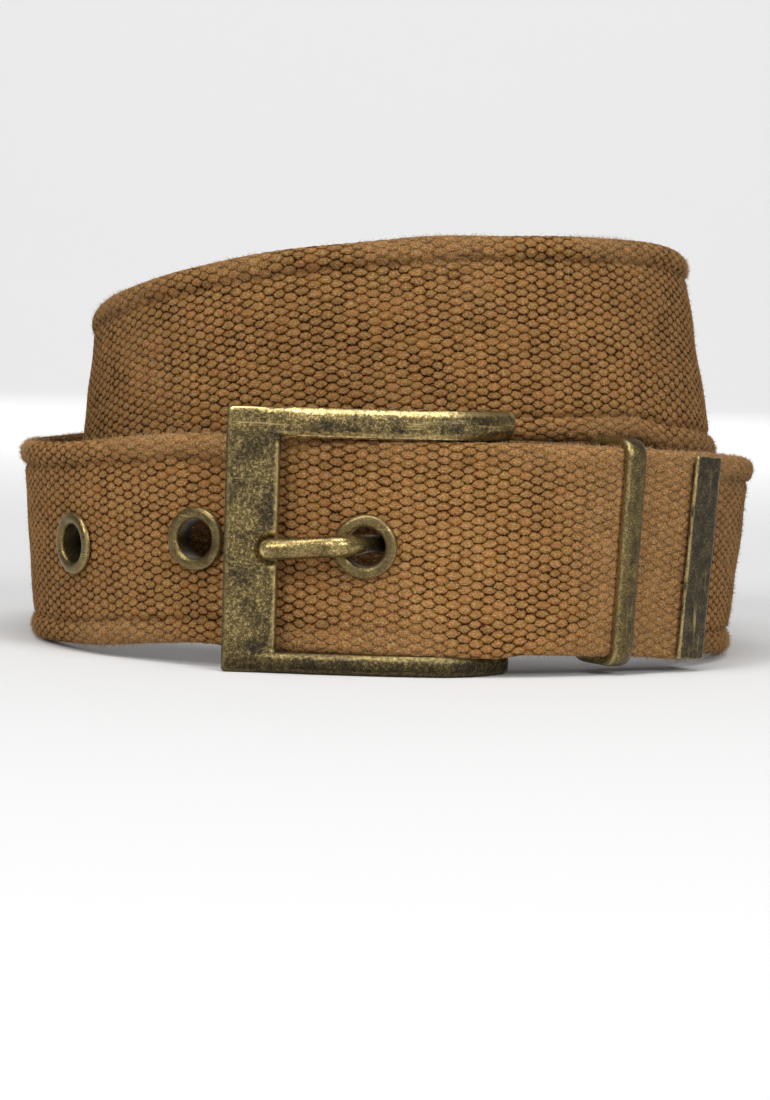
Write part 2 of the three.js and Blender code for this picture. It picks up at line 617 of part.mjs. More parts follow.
// Tip cap: a folded metal channel over the strap's end.
function tipCap() {
  const tip = OUTER_RUN[OUTER_RUN.length - 1].turn;
  const middleTurn = tip - CAP_WIDTH / 2 / COIL_RADIUS / DEGREE;
  const axes = axesAt(middleTurn);
  const end = runStation(OUTER_RUN, tip, 1);
  const reach = new THREE.Vector2(axes.centre.x, axes.centre.y).distanceTo(end.plan);
  const inside = STRAP_THICKNESS + 2 * CAP_SLACK;
  const half = inside / 2 + CAP_WALL;
  const webInside = -reach - SEAT_GAP - CAP_SLACK / 2;
  const webOutside = webInside - CAP_WALL;
  const mouth = webOutside + CAP_WIDTH;
  const round = CAP_WALL;
  const shape = new THREE.Shape();
  shape.moveTo(-half, mouth);
  shape.lineTo(-half, webOutside + round);
  shape.lineTo(-half + round, webOutside);
  shape.lineTo(half - round, webOutside);
  shape.lineTo(half, webOutside + round);
  shape.lineTo(half, mouth);
  shape.lineTo(half - CAP_WALL, mouth);
  shape.lineTo(half - CAP_WALL, webInside);
  shape.lineTo(-half + CAP_WALL, webInside);
  shape.lineTo(-half + CAP_WALL, mouth);
  const channel = new THREE.ExtrudeGeometry(shape, { depth: CAP_HEIGHT, bevelEnabled: false });
  channel.translate(0, 0, -CAP_HEIGHT / 2).rotateX(Math.PI / 2);
  return solid(placeAt(channel, axes));
}

const belt = new THREE.Group();
belt.add(piece("webbing_strap", webbingStrap(), CANVAS));
belt.add(piece("buckle_frame", buckleFrame(), ANTIQUE_BRASS));
belt.add(piece("buckle_prong", buckleProng(), ANTIQUE_BRASS));
for (let i = 0; i < EYELET_COUNT; i += 1) {
  belt.add(piece(`eyelet_${i + 1}`, eyelet(i), ANTIQUE_BRASS));
}
belt.add(piece("keeper_loop", keeperLoop(), DARK_BRASS));
belt.add(piece("tip_cap", tipCap(), ANTIQUE_BRASS));

const footprint = new THREE.Box3().setFromObject(belt).getCenter(new THREE.Vector3());
belt.position.set(-footprint.x, -footprint.y, 0);
belt.updateMatrixWorld(true);

export default belt;
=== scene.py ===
"""Canvas web belt, coiled in two turns: woven strap, antique brass buckle, eyelets, keeper and tip cap."""

import logging
import math
from dataclasses import dataclass, field
from enum import Enum
from typing import Iterable, NamedTuple, Optional, Sequence, Union

import bmesh
import bpy
import numpy as np
from mathutils import Matrix, Vector

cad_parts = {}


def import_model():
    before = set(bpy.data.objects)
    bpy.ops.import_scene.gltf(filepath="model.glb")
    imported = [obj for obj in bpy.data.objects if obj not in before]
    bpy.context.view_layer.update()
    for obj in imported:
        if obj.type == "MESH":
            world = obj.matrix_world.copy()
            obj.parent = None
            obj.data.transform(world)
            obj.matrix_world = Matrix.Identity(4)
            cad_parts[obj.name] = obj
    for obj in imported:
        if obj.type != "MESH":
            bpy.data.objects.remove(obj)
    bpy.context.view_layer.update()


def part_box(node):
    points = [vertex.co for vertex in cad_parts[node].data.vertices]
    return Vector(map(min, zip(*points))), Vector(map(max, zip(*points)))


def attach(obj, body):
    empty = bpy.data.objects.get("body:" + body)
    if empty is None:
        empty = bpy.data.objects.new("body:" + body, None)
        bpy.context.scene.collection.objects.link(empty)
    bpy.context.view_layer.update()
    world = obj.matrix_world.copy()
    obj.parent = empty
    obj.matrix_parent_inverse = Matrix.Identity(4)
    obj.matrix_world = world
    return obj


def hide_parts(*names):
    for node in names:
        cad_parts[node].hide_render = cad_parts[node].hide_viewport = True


log = logging.getLogger("belt")

MM = 0.001
UV_MM = 0.01
SEED = 7


class PathRow(NamedTuple):
    """One row of the strap's run: where it is at a turn round the coil.

    turn is in degrees, 0 at the front, 90 right, 180 back and 270 left. out is in layer pitches
    outside the coil radius, rise is the lower edge's height as a share of the strap's width, lean is
    how far the top edge tips outwards in degrees, and rim is how much of the rolled rim is left.
    """

    turn: float
    out: float
    rise: float
    lean: float
    rim: float


@dataclass(frozen=True)
class BeltSizes:
    """Driving sizes that several pieces share, in millimetres."""

    strap_width: float = 38.0
    strap_thickness: float = 2.6
    rim_width: float = 4.5
    coil_radius: float = 68.5
    layer_pitch: float = 3.3
    back_stretch: float = 1.22
    seat_gap: float = 0.3
    lower_bar_height: float = 3.8
    upper_bar_height: float = 5.2
    heel_turn: float = 18.0
    heel_bar: float = 3.6
    rim_proud: float = 0.45
    eyelet_flange: float = 11.6
    eyelet_wall: float = 0.6
    used_turn: float = 717.5
    eyelet_step: float = 26.5
    eyelet_count: int = 3

    @property
    def fold_radius(self) -> float:
        """Radius of the strap's middle where it folds round the heel bar."""
        return self.heel_bar / 2 + self.seat_gap + self.strap_thickness / 2

    @property
    def strap_bottom(self) -> float:
        """Height of the strap's lower edge inside the buckle."""
        return self.lower_bar_height + self.seat_gap

    @property
    def strap_middle(self) -> float:
        """Height of the strap's middle line inside the buckle."""
        return self.strap_bottom + self.strap_width / 2

    @property
    def frame_height(self) -> float:
        """Height of the whole buckle frame."""
        return self.strap_bottom + self.strap_width + self.seat_gap + self.upper_bar_height

    @property
    def buckle_rise(self) -> float:
        """Rise of the strap inside the buckle, as a share of its width."""
        return self.strap_bottom / self.strap_width

    @property
    def flange_lift(self) -> float:
        """How far the coil's curve falls away under the edge of an eyelet's flat flange."""
        return self.eyelet_flange ** 2 / 8 / self.coil_radius

    @property
    def eyelet_turns(self) -> tuple[float, ...]:
        """Turns of the eyelets, from the used one back along the strap."""
        return tuple(self.used_turn - k * self.eyelet_step for k in range(self.eyelet_count))


SIZES = BeltSizes()

OUTER_RUN = (
    PathRow(18, 0, SIZES.buckle_rise, 0, 0),
    PathRow(37, 0, 0.092, 1.5, 0),
    PathRow(56, 0, 0.06, 2.5, 0.4),
    PathRow(75, 0, 0.03, 4.8, 1),
    PathRow(90, -0.08, 0.002, 6.6, 1),
    PathRow(105, -0.61, 0.002, 3, 1),
    PathRow(120, -1.36, 0.001, 0, 1),
    PathRow(135, -1.97, 0.01, -1, 1),
    PathRow(150, -2.12, 0.053, -1, 1),
    PathRow(180, -2.42, 0.21, 0, 1),
    PathRow(210, -2.73, 0.37, -1, 1),
    PathRow(240, -3.03, 0.51, -3, 1),
    PathRow(270, -3.21, 0.65, -5, 1),
    PathRow(303, -3.21, 0.81, -6, 1),
    PathRow(321, -3.35, 0.905, -6.5, 1),
    PathRow(346, -3.6, 1.02, -7, 1),
    PathRow(360, -3.75, 1.06, -7.5, 1),
    PathRow(375, -3.95, 1.095, -8, 1),
    PathRow(391, -3.85, 1.105, -8.5, 1),
    PathRow(410, -3.5, 1.112, -9, 1),
    PathRow(430, -3.15, 1.09, -10, 1),
    PathRow(450, -2.76, 1.04, -10.5, 1),
    PathRow(465, -2.2, 1.03, -11, 1),
    PathRow(480, -1.5, 1.025, -12, 1),
    PathRow(492, -0.6, 0.985, -10, 1),
    PathRow(510, -0.3, 0.87, -5, 1),
    PathRow(540, -0.4, 0.555, 0, 1),
    PathRow(570, -0.3, 0.225, 1, 1),
    PathRow(600, -0.15, 0.012, 3, 1),
    PathRow(620, 0, 0.002, 4.2, 1),
    PathRow(632, 0, 0.002, 4.6, 1),
    PathRow(660, 0, 0.026, 3, 1),
    PathRow(680, 0, 0.08, 1, 1),
    PathRow(692, 0, SIZES.buckle_rise, 0, 0.8),
    PathRow(702, 0, SIZES.buckle_rise, 0, 0.25),
    PathRow(SIZES.used_turn, 0.52, SIZES.buckle_rise, 0, 0.25),
    PathRow(733, 1, SIZES.buckle_rise, 0, 0),
    PathRow(757, 1, 0.092, 1.5, 0),
    PathRow(763, 1.12, 0.08, 1.8, 0),
    PathRow(768, 1.35, 0.065, 2, 0),
    PathRow(773, 1.4, 0.055, 2, 0),
)

INNER_RUN = (
    PathRow(18, -2 * SIZES.fold_radius / SIZES.layer_pitch, SIZES.buckle_rise, 0, 0),
    PathRow(23, -1.85, SIZES.buckle_rise, 0, 0),
    PathRow(32, -1.05, 0.099, 1, 0),
    PathRow(37, -1, 0.092, 1.5, 0),
    PathRow(47, -1, 0.075, 2, 0),
)


def along(table: Sequence[PathRow], column: str, turns: np.ndarray) -> np.ndarray:
    """Values of a column on a smooth curve that never overshoots its rows.

    Args:
        table: the rows, in order of turn.
        column: the name of the column to read.
        turns: the turns to read it at, in degrees.

    Returns:
        The column's value at each turn.
    """
    x = np.array([row.turn for row in table], float)
    y = np.array([getattr(row, column) for row in table], float)
    slope = np.diff(y) / np.diff(x)
    product = slope[:-1] * slope[1:]
    total = np.where(product > 0, slope[:-1] + slope[1:], 1.0)
    inner = np.where(product > 0, 2 * product / total, 0.0)
    tangent = np.concatenate([slope[:1], inner, slope[-1:]])
    at = np.clip(turns, x[0], x[-1])
    i = np.clip(np.searchsorted(x, at, side="right") - 1, 0, len(x) - 2)
    span = x[i + 1] - x[i]
    t = (at - x[i]) / span
    rest = (y[i + 1] - y[i]) * t * t * (3 - 2 * t)
    lead = t * (1 - t) ** 2 * tangent[i]
    trail = t * t * (t - 1) * tangent[i + 1]
    return y[i] + rest + span * (lead + trail)


def plan_points(turns: np.ndarray, radii: np.ndarray) -> np.ndarray:
    """Points of the plan; the coil's back is longer than its front.

    Args:
        turns: turns round the coil, in degrees.
        radii: the coil's radius at each of them, in millimetres.

    Returns:
        Plan x and y at each turn.
    """
    angle = np.radians(turns)
    depth = -radii * np.cos(angle)
    depth = np.where(depth > 0, depth * SIZES.back_stretch, depth)
    return np.stack([radii * np.sin(angle), depth], axis=1)


def unit(vectors: np.ndarray) -> np.ndarray:
    """The vectors at length one."""
    return vectors / np.linalg.norm(vectors, axis=-1, keepdims=True)


@dataclass
class Axes:
    """Where the strap is: middle of its section, along it, out of its face, and up its width."""

    centre: np.ndarray
    forward: np.ndarray
    out: np.ndarray
    up: np.ndarray

    def point(self, out: float, up: float, forward: float) -> np.ndarray:
        """The point at some distances out of the face, up the width and along the strap."""
        return self.centre + self.out * out + self.up * up + self.forward * forward

    def matrix(self) -> Matrix:
        """Matrix that puts x out of the face, y up the width and z back along the strap, in metres."""
        columns = [self.out, self.up, -self.forward]
        rows = [[*(float(c[k]) for c in columns), float(self.centre[k]) * MM] for k in range(3)]
        return Matrix([*rows, [0, 0, 0, 1]])


@dataclass
class StrapPath:
    """The strap's middle line, from its hidden end round the heel bar and the coil to its tip."""

    sizes: BeltSizes = SIZES
    fold_samples: int = 60
    turn_step: float = 0.25
    forward_reach: float = 0.4
    edge_inset: float = 2.0
    shift: np.ndarray = field(default_factory=lambda: np.zeros(3))
    centre: np.ndarray = field(init=False)
    lean: np.ndarray = field(init=False)
    rim: np.ndarray = field(init=False)
    turn: np.ndarray = field(init=False)
    distance: np.ndarray = field(init=False)
    outer_start: int = field(init=False)

    def __post_init__(self) -> None:
        """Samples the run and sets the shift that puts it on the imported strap."""
        self._sample()
        low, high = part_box("webbing_strap")
        packed = np.array([(low.x + high.x) / 2, (low.y + high.y) / 2]) / MM
        edges = self._edge_points()
        drawn = (edges.min(0) + edges.max(0)) / 2
        self.shift = np.array([*(packed - drawn[:2]), 0.0])
        self.centre = self.centre + self.shift

    @property
    def heel(self) -> np.ndarray:
        """Plan point of the heel bar's middle, with the shift."""
        sizes = self.sizes
        radius = np.array([sizes.coil_radius - sizes.fold_radius])
        return plan_points(np.array([sizes.heel_turn]), radius)[0] + self.shift[:2]

    def _run(self, table: Sequence[PathRow], turns: np.ndarray, side: int) -> np.ndarray:
        """Samples one run.

        Args:
            table: the run's rows.
            turns: the turns to sample it at.
            side: 1 where the run's outer face looks out of the coil, -1 where it looks in.

        Returns:
            Columns of plan x and y, lower edge, lean, rim and turn.
        """
        radii = self.sizes.coil_radius + along(table, "out", turns) * self.sizes.layer_pitch
        plan = plan_points(turns, radii)
        bottom = along(table, "rise", turns) * self.sizes.strap_width
        lean = side * along(table, "lean", turns)
        return np.column_stack([plan, bottom, lean, along(table, "rim", turns), turns])

    def _fold(self) -> np.ndarray:
        """The half circle round the heel bar, in the same columns as a run."""
        sizes = self.sizes
        bend = np.linspace(0, math.pi, self.fold_samples, endpoint=False)
        angle = math.radians(sizes.heel_turn)
        outward = np.array([math.sin(angle), -math.cos(angle)])
        onward = np.array([math.cos(angle), math.sin(angle)])
        radius = sizes.fold_radius
        plan = self.heel - self.shift[:2] - radius * (
            np.cos(bend)[:, None] * outward + np.sin(bend)[:, None] * onward
        )
        bottom = np.full(len(bend), sizes.strap_bottom)
        zero = np.zeros(len(bend))
        return np.column_stack([plan, bottom, zero, zero, np.full(len(bend), sizes.heel_turn)])

    def _sample(self) -> None:
        """Samples the whole run densely and measures its length."""
        heel = self.sizes.heel_turn
        inner = np.arange(INNER_RUN[-1].turn, heel, -self.turn_step)
        outer = np.arange(heel, OUTER_RUN[-1].turn + self.turn_step / 2, self.turn_step)
        rows = np.vstack([
            self._run(INNER_RUN, inner, -1),
            self._fold(),
            self._run(OUTER_RUN, outer, 1),
        ])
        self.lean = np.radians(rows[:, 3])
        self.rim = rows[:, 4]
        self.turn = rows[:, 5]
        self.outer_start = len(inner) + self.fold_samples
        lift = self.sizes.strap_width / 2 * np.cos(self.lean)
        self.centre = np.column_stack([rows[:, :2], rows[:, 2] + lift])
        steps = np.linalg.norm(np.diff(self.centre, axis=0), axis=1)
        self.distance = np.concatenate([[0.0], np.cumsum(steps)])

    @property
    def length(self) -> float:
        """Length of the strap's middle line."""
        return float(self.distance[-1])

    def distance_at(self, turn: float) -> float:
        """Distance along the strap, from its hidden end, at a turn of the outer run."""
        turns = self.turn[self.outer_start:]
        return float(np.interp(turn, turns, self.distance[self.outer_start:]))

    def frames(self, distances: np.ndarray) -> tuple[np.ndarray, ...]:
        """Where the strap is at some places.

        Args:
            distances: distances along the strap.

        Returns:
            Centre, forward, out, up and rim at each of them.
        """

        def centre_at(d: np.ndarray) -> np.ndarray:
            """Points of the middle line at some distances."""
            return np.column_stack([np.interp(d, self.distance, self.centre[:, k]) for k in range(3)])

        centre = centre_at(distances)
        ahead = np.minimum(distances + self.forward_reach, self.length)
        behind = np.maximum(distances - self.forward_reach, 0)
        forward = unit(centre_at(ahead) - centre_at(behind))
        flat = np.column_stack([forward[:, 1], -forward[:, 0], np.zeros(len(forward))])
        side = unit(flat)
        across = unit(np.array([0.0, 0.0, 1.0]) - forward[:, 2:3] * forward)
        lean = np.interp(distances, self.distance, self.lean)[:, None]
        up = across * np.cos(lean) + side * np.sin(lean)
        out = side * np.cos(lean) - across * np.sin(lean)
        rim = np.interp(distances, self.distance, self.rim)
        return centre, forward, out, up, rim

    def axes_at(self, turn: float) -> Axes:
        """Axes of the strap at a turn of its outer run."""
        centre, forward, out, up, _ = self.frames(np.array([self.distance_at(turn)]))
        return Axes(centre[0], forward[0], out[0], up[0])

    def _edge_points(self) -> np.ndarray:
        """Corners of the strap's section along its run, for its box."""
        centre, _, out, up, rim = self.frames(self.distance)
        half = self.sizes.strap_width / 2
        corners = []
        for sign in (-1, 1):
            for face in (-1, 1):
                thick = self.sizes.strap_thickness / 2 + self.sizes.rim_proud * rim[:, None]
                corners.append(centre + up * sign * (half - self.edge_inset) + out * face * thick)
        return np.vstack(corners)


Value = Union["Channel", float]
Colour = tuple[float, float, float]


@dataclass
class Channel:
    """A shader socket that carries a number, with Python's operators on it."""

    shader: "Shader"
    socket: bpy.types.NodeSocket

    def _math(self, operation: str, *others: Value) -> "Channel":
        """A Math node on this value and some others."""
        values = dict(enumerate([self, *others]))
        return self.shader.node("ShaderNodeMath", {"operation": operation}, values)

    def __add__(self, other: Value) -> "Channel":
        """Sum."""
        return self._math("ADD", other)

    def __sub__(self, other: Value) -> "Channel":
        """Difference."""
        return self._math("SUBTRACT", other)

    def __rsub__(self, other: float) -> "Channel":
        """Difference, with a number on the left."""
        return self._math("MULTIPLY_ADD", -1.0, other)

    def __mul__(self, other: Value) -> "Channel":
        """Product."""
        return self._math("MULTIPLY", other)

    def __pow__(self, other: Value) -> "Channel":
        """Power."""
        return self._math("POWER", other)

    def largest(self, other: Value) -> "Channel":
        """The larger of two values."""
        return self._math("MAXIMUM", other)

    def above(self, other: Value) -> "Channel":
        """1 where this is greater than the other, else 0."""
        return self._math("GREATER_THAN", other)

    def whole(self) -> "Channel":
        """The nearest whole number."""
        return self._math("ROUND")

    def wave(self) -> "Channel":
        """Sine, brought to the range 0 to 1."""
        return self._math("SINE") * 0.5 + 0.5

    def ramp(self, low: float, high: float, first: float = 0.0, last: float = 1.0) -> "Channel":
        """Smooth step.

        Args:
            low: the value where the step starts.
            high: the value where it ends.
            first: the result below low.
            last: the result above high.

        Returns:
            The stepped value.
        """
        settings = {"interpolation_type": "SMOOTHSTEP"}
        sockets = {"Value": self, "From Min": low, "From Max": high, "To Min": first, "To Max": last}
        return self.shader.node("ShaderNodeMapRange", settings, sockets)


class Shader:
    """A material's node tree, ending in one Principled shader."""

    def __init__(self, name: str) -> None:
        """Makes the material with an empty tree.

        Args:
            name: the material's name.
        """
        self.material = bpy.data.materials.new(name)
        self.material.use_nodes = True
        self.tree = self.material.node_tree
        self.tree.nodes.clear()
        self.surface = self.tree.nodes.new("ShaderNodeBsdfPrincipled")
        output = self.tree.nodes.new("ShaderNodeOutputMaterial")
        self.tree.links.new(self.surface.outputs[0], output.inputs["Surface"])

    def node(self, kind: str, settings: Optional[dict] = None, sockets: Optional[dict] = None,
             output: Union[int, str] = 0) -> Channel:
        """Adds a node.

        Args:
            kind: the node's type.
            settings: its properties, set first.
            sockets: values or channels for its inputs, by name or number.
            output: the output to return.

        Returns:
            The chosen output, as a channel.
        """
        made = self.tree.nodes.new(kind)
        for key, value in (settings or {}).items():
            setattr(made, key, value)
        for key, value in (sockets or {}).items():
            self._feed(made.inputs[key], value)
        return Channel(self, made.outputs[output])

    def _feed(self, socket: bpy.types.NodeSocket, value: object) -> None:
        """Links or sets one input.

        Args:
            socket: the input.
            value: a channel to link, or a value to set.
        """
        if isinstance(value, Channel):
            self.tree.links.new(value.socket, socket)
        elif isinstance(value, tuple) and socket.type == "RGBA":
            socket.default_value = (*value, 1.0)
        else:
            socket.default_value = value

    def set(self, name: str, value: object) -> None:
        """Sets or links one input of the Principled shader."""
        self._feed(self.surface.inputs[name], value)

    def mix(self, factor: Value, first: object, second: object, blend: str = "MIX") -> Channel:
        """Mixes two colours.

        Args:
            factor: how much of the second colour.
            first: a colour or a channel.
            second: a colour or a channel.
            blend: the blend type.

        Returns:
            The mixed colour.
        """
        settings = {"data_type": "RGBA", "blend_type": blend}
        return self.node("ShaderNodeMix", settings, {0: factor, 6: first, 7: second}, 2)

    def place(self) -> Channel:
        """Object coordinates."""
        return self.node("ShaderNodeTexCoord", output="Object")

    def stretched(self, scale: tuple[float, float, float], source: Optional[Channel] = None) -> Channel:
        """Coordinates for a pattern that runs one way.

        Args:
            scale: the scale along each axis.
            source: the coordinates, or Object coordinates when left out.

        Returns:
            The scaled coordinates.
        """
        at = source if source is not None else self.place()
        return self.node("ShaderNodeMapping", None, {"Vector": at, "Scale": scale})

    def noise(self, scale: float, detail: float = 2.0, rough: float = 0.5,
              at: Optional[Channel] = None) -> Channel:
        """Noise, from 0 to 1.

        Args:
            scale: how many features there are to a unit of the coordinates.
            detail: how many finer octaves there are.
            rough: how strong the finer octaves are.
            at: coordinates, or Object coordinates when left out.

        Returns:
            The noise's value.
        """
        source = at if at is not None else self.place()
        sockets = {"Vector": source, "Scale": scale, "Detail": detail, "Roughness": rough}
        return self.node("ShaderNodeTexNoise", None, sockets, "Fac")

    def split(self, source: Channel) -> tuple[Channel, ...]:
        """The x, y and z of some coordinates."""
        node = self.node("ShaderNodeSeparateXYZ", None, {0: source}).socket.node
        return tuple(Channel(self, socket) for socket in node.outputs)

    def attribute(self, name: str) -> Channel:
        """A number stored on the mesh."""
        return self.node("ShaderNodeAttribute", {"attribute_name": name}, None, "Fac")

    def bump(self, height: Channel, distance: float, strength: float,
             under: Optional[Channel] = None) -> Channel:
        """A Bump node.

        Args:
            height: the height's channel.
            distance: height of a full step, in metres.
            strength: how much of it is seen.
            under: another bump's normal to build on.

        Returns:
            The bent normal.
        """
        sockets = {"Height": height, "Distance": distance, "Strength": strength}
        if under is not None:
            sockets["Normal"] = under
        return self.node("ShaderNodeBump", None, sockets)


@dataclass(frozen=True)
class Weave:
    """Plain weave seen as lens-shaped knuckles in staggered columns, in millimetres."""

    yarn_pitch: float = 0.825
    float_period: float = 4.2
    half_length: float = 1.46
    half_height: float = 0.84
    crown_round: float = 0.25
    relief: float = 0.30
    lowest: float = -0.2
    highest: float = 0.75

    def height(self, along_mm: np.ndarray, across_mm: np.ndarray) -> np.ndarray:
        """Knuckle height, from about -0.1 in the gaps to 1 on the crowns.

        Args:
            along_mm: distances along the strap.
            across_mm: distances round the strap's section.

        Returns:
            The height at each place.
        """
        families = []
        for offset in (0.0, 0.5):
            a = along_mm / self.float_period + offset
            b = across_mm / (2 * self.yarn_pitch) + offset
            da = (a - np.round(a)) * self.float_period / self.half_length
            db = (b - np.round(b)) * 2 * self.yarn_pitch / self.half_height
            families.append(1 - da * da - np.sqrt(db * db + self.crown_round ** 2) + self.crown_round)
        return np.maximum(*families)


WEAVE = Weave()


@dataclass
class Threads:
    """Channels of the woven threads, which the canvas's colour and its bumps share.

    height is the knuckles' height, under is 0 on a knuckle's lower flank and 1 on its crown and paints shade
    on the lower flanks as if lit from above, random differs from knuckle to knuckle, twist is the yarn's
    ply and fibre its fine streaks.
    """

    uv: Channel
    height: Channel
    under: Channel
    random: Channel
    twist: Channel
    fibre: Channel
    fuzz: Channel


@dataclass(frozen=True)
class CanvasFinish:
    """Tan-brown cotton webbing: woven knuckles, twisted yarn and brushed fibres."""

    name: str = "canvas_webbing"
    gap: Colour = (0.026, 0.007, 0.0005)
    shade: Colour = (0.120, 0.040, 0.004)
    olive: Colour = (0.250, 0.142, 0.040)
    rust: Colour = (0.300, 0.128, 0.038)
    # crown is pale fibre: lighter knuckle tops, partly painted highlight, and the brushed rims.
    crown: Colour = (0.600, 0.385, 0.200)
    red_yarn: Colour = (0.230, 0.085, 0.026)
    sheen: Colour = (0.95, 0.78, 0.58)
    twist_pitch: float = 0.42
    twist_angle: float = 62.0

    def _family(self, shader: Shader, s: Channel, t: Channel, offset: float) -> tuple[Channel, ...]:
        """One of the two staggered families of knuckles.

        Args:
            shader: the canvas's shader; not used.
            s: distance along the strap, in millimetres.
            t: distance round its section.
            offset: the family's shift, as a share of a cell.

        Returns:
            The knuckles' height, a number for each cell, and the place across a knuckle.
        """
        a = s * (1 / WEAVE.float_period) + offset
        b = t * (1 / (2 * WEAVE.yarn_pitch)) + offset
        cell_a = a.whole()
        cell_b = b.whole()
        da = (a - cell_a) * (WEAVE.float_period / WEAVE.half_length)
        db = (b - cell_b) * (2 * WEAVE.yarn_pitch / WEAVE.half_height)
        flank = (db * db + WEAVE.crown_round ** 2) ** 0.5
        height = 1.0 + WEAVE.crown_round - (da * da + flank)
        number = cell_a * 1.37 + cell_b * 7.93 + offset * 31.7
        return height, number, db

    def _threads(self, shader: Shader) -> Threads:
        """Lays the weave over the strap's own coordinates.

        Args:
            shader: the canvas's shader.

        Returns:
            The woven threads.
        """
        uv = shader.node("ShaderNodeUVMap", {"uv_map": "weave"})
        along_strap, round_strap, _ = shader.split(uv)
        s = along_strap * (1 / UV_MM) + (shader.noise(1500.0, 2.0, 0.6) - 0.5) * 1.0
        t = round_strap * (1 / UV_MM) + (shader.noise(1900.0, 2.0, 0.6) - 0.5) * 0.7
        even, even_number, even_side = self._family(shader, s, t, 0.0)
        odd, odd_number, odd_side = self._family(shader, s, t, 0.5)
        pick = odd.above(even)
        number = even_number + pick * (odd_number - even_number)
        # Painted shade: under is low on each knuckle's lower flank, as if lit from above.
        under = (even_side + pick * (odd_side - even_side)).ramp(-1.0, 0.35)
        random = shader.node("ShaderNodeTexWhiteNoise", {"noise_dimensions": "1D"}, {"W": number}, "Value")
        angle = math.radians(self.twist_angle)
        turns = 2 * math.pi / self.twist_pitch
        ripple = shader.noise(2.2, 2.0, 0.6, shader.stretched((100, 100, 100), uv))
        phase = s * (math.cos(angle) * turns) + t * (math.sin(angle) * turns) + ripple * 9.0
        fibre = shader.noise(1.0, 3.0, 0.7, shader.stretched((180, 520, 1), uv))
        return Threads(uv, even.largest(odd), under, random, phase.wave(), fibre, shader.attribute("fuzz"))

    def _colour(self, shader: Shader, threads: Threads) -> Channel:
        """Colour: dark gaps, mottled yarn, pale crowns partly painted as highlight, brushed rims, then a
        lightness with painted shade on the knuckles' lower flanks, and painted shade in the rim grooves and
        inside the coil.

        Args:
            shader: the canvas's shader.
            threads: the woven threads.

        Returns:
            The base colour.
        """
        height, under, random = threads.height, threads.under, threads.random
        mottle = shader.noise(38.0, 3.0, 0.6)
        patch = shader.noise(260.0, 2.0, 0.6)
        grain = shader.noise(3300.0, 3.0, 0.7).ramp(0.36, 0.62)
        streak = threads.fibre.ramp(0.35, 0.65)
        tint = shader.noise(1700.0, 2.0, 0.6).ramp(0.36, 0.64)
        open_weave = height + (patch - 0.5) * 0.4 + (random - 0.5) * 0.2 + (grain + streak - 1.0) * 0.10
        # Painted shade: under darkens each knuckle's lower flank.
        open_weave = open_weave + under * 0.36 - 0.38
        body = shader.mix(tint, self.olive, self.rust)
        # Pale crowns: worn pale fibre on the knuckles' tops, partly painted highlight along the yarn's ply.
        ply = (grain * 0.45 + streak * 0.3 + threads.twist * 0.25).ramp(0.42, 0.95)
        crown = height.ramp(0.15, 0.8) * ply
        colour = shader.mix(open_weave.ramp(-0.14, 0.14), self.gap, self.shade)
        colour = shader.mix(open_weave.ramp(0.02, 0.36), colour, body)
        colour = shader.mix(crown * 0.6, colour, self.crown)
        colour = shader.mix(random.ramp(0.72, 1.0) * 0.3, colour, self.red_yarn)
        brushed = shader.mix((grain * 0.6 + streak * 0.4).ramp(0.3, 1.0) * 0.7, body, self.crown)
        soft = shader.mix(mottle.ramp(0.3, 0.7) * 0.35, brushed, self.shade)
        colour = shader.mix(threads.fuzz.ramp(0.05, 0.8, 0.0, 0.75), colour, soft)
        worn = shader.attribute("worn") * 0.12
        light = random * 0.2 + mottle.ramp(0.3, 0.7) * 0.16 + patch.ramp(0.3, 0.7) * 0.14 + worn + 0.30
        # Painted shade again: under lightens the crowns and darkens the lower flanks.
        light = light + grain * 0.22 + streak * 0.12 + under * 0.22
        grey = shader.node("ShaderNodeCombineColor", None, {0: light, 1: light, 2: light})
        colour = shader.mix(1.0, colour, grey, "MULTIPLY")
        # Painted shade in the rim grooves and on the coil's inner face, from a mark stored on the strap.
        return shader.mix(shader.attribute("painted_shade"), colour, self.gap)

    def _normal(self, shader: Shader, threads: Threads) -> Channel:
        """Bumps: the knuckles, the yarn's twist on them, and lint over all.

        Args:
            shader: the canvas's shader.
            threads: the woven threads.

        Returns:
            The bent normal.
        """
        height, fuzz = threads.height, threads.fuzz
        raised = height.ramp(WEAVE.lowest, WEAVE.highest) * (1.0 - fuzz * 0.4)
        knuckle = shader.bump(raised, 1.5 * WEAVE.relief * MM, 0.9)
        strand = threads.twist * height.ramp(0.0, 0.6) * (1.0 - fuzz * 0.6)
        twisted = shader.bump(strand, 0.11 * MM, 0.7, knuckle)
        lint = shader.noise(1.0, 4.0, 0.75, shader.stretched((420, 700, 1), threads.uv))
        return shader.bump(lint + threads.fibre, 0.16 * MM, 0.85, twisted)

    def build(self) -> bpy.types.Material:
        """Builds the material."""
        shader = Shader(self.name)
        threads = self._threads(shader)
        shader.set("Base Color", self._colour(shader, threads))
        shader.set("Roughness", 0.92)
        shader.set("Specular IOR Level", 0.04)
        shader.set("Sheen Weight", 0.03)
        shader.set("Sheen Roughness", 0.5)
        shader.set("Sheen Tint", self.sheen)
        shader.set("Normal", self._normal(shader, threads))
        return shader.material


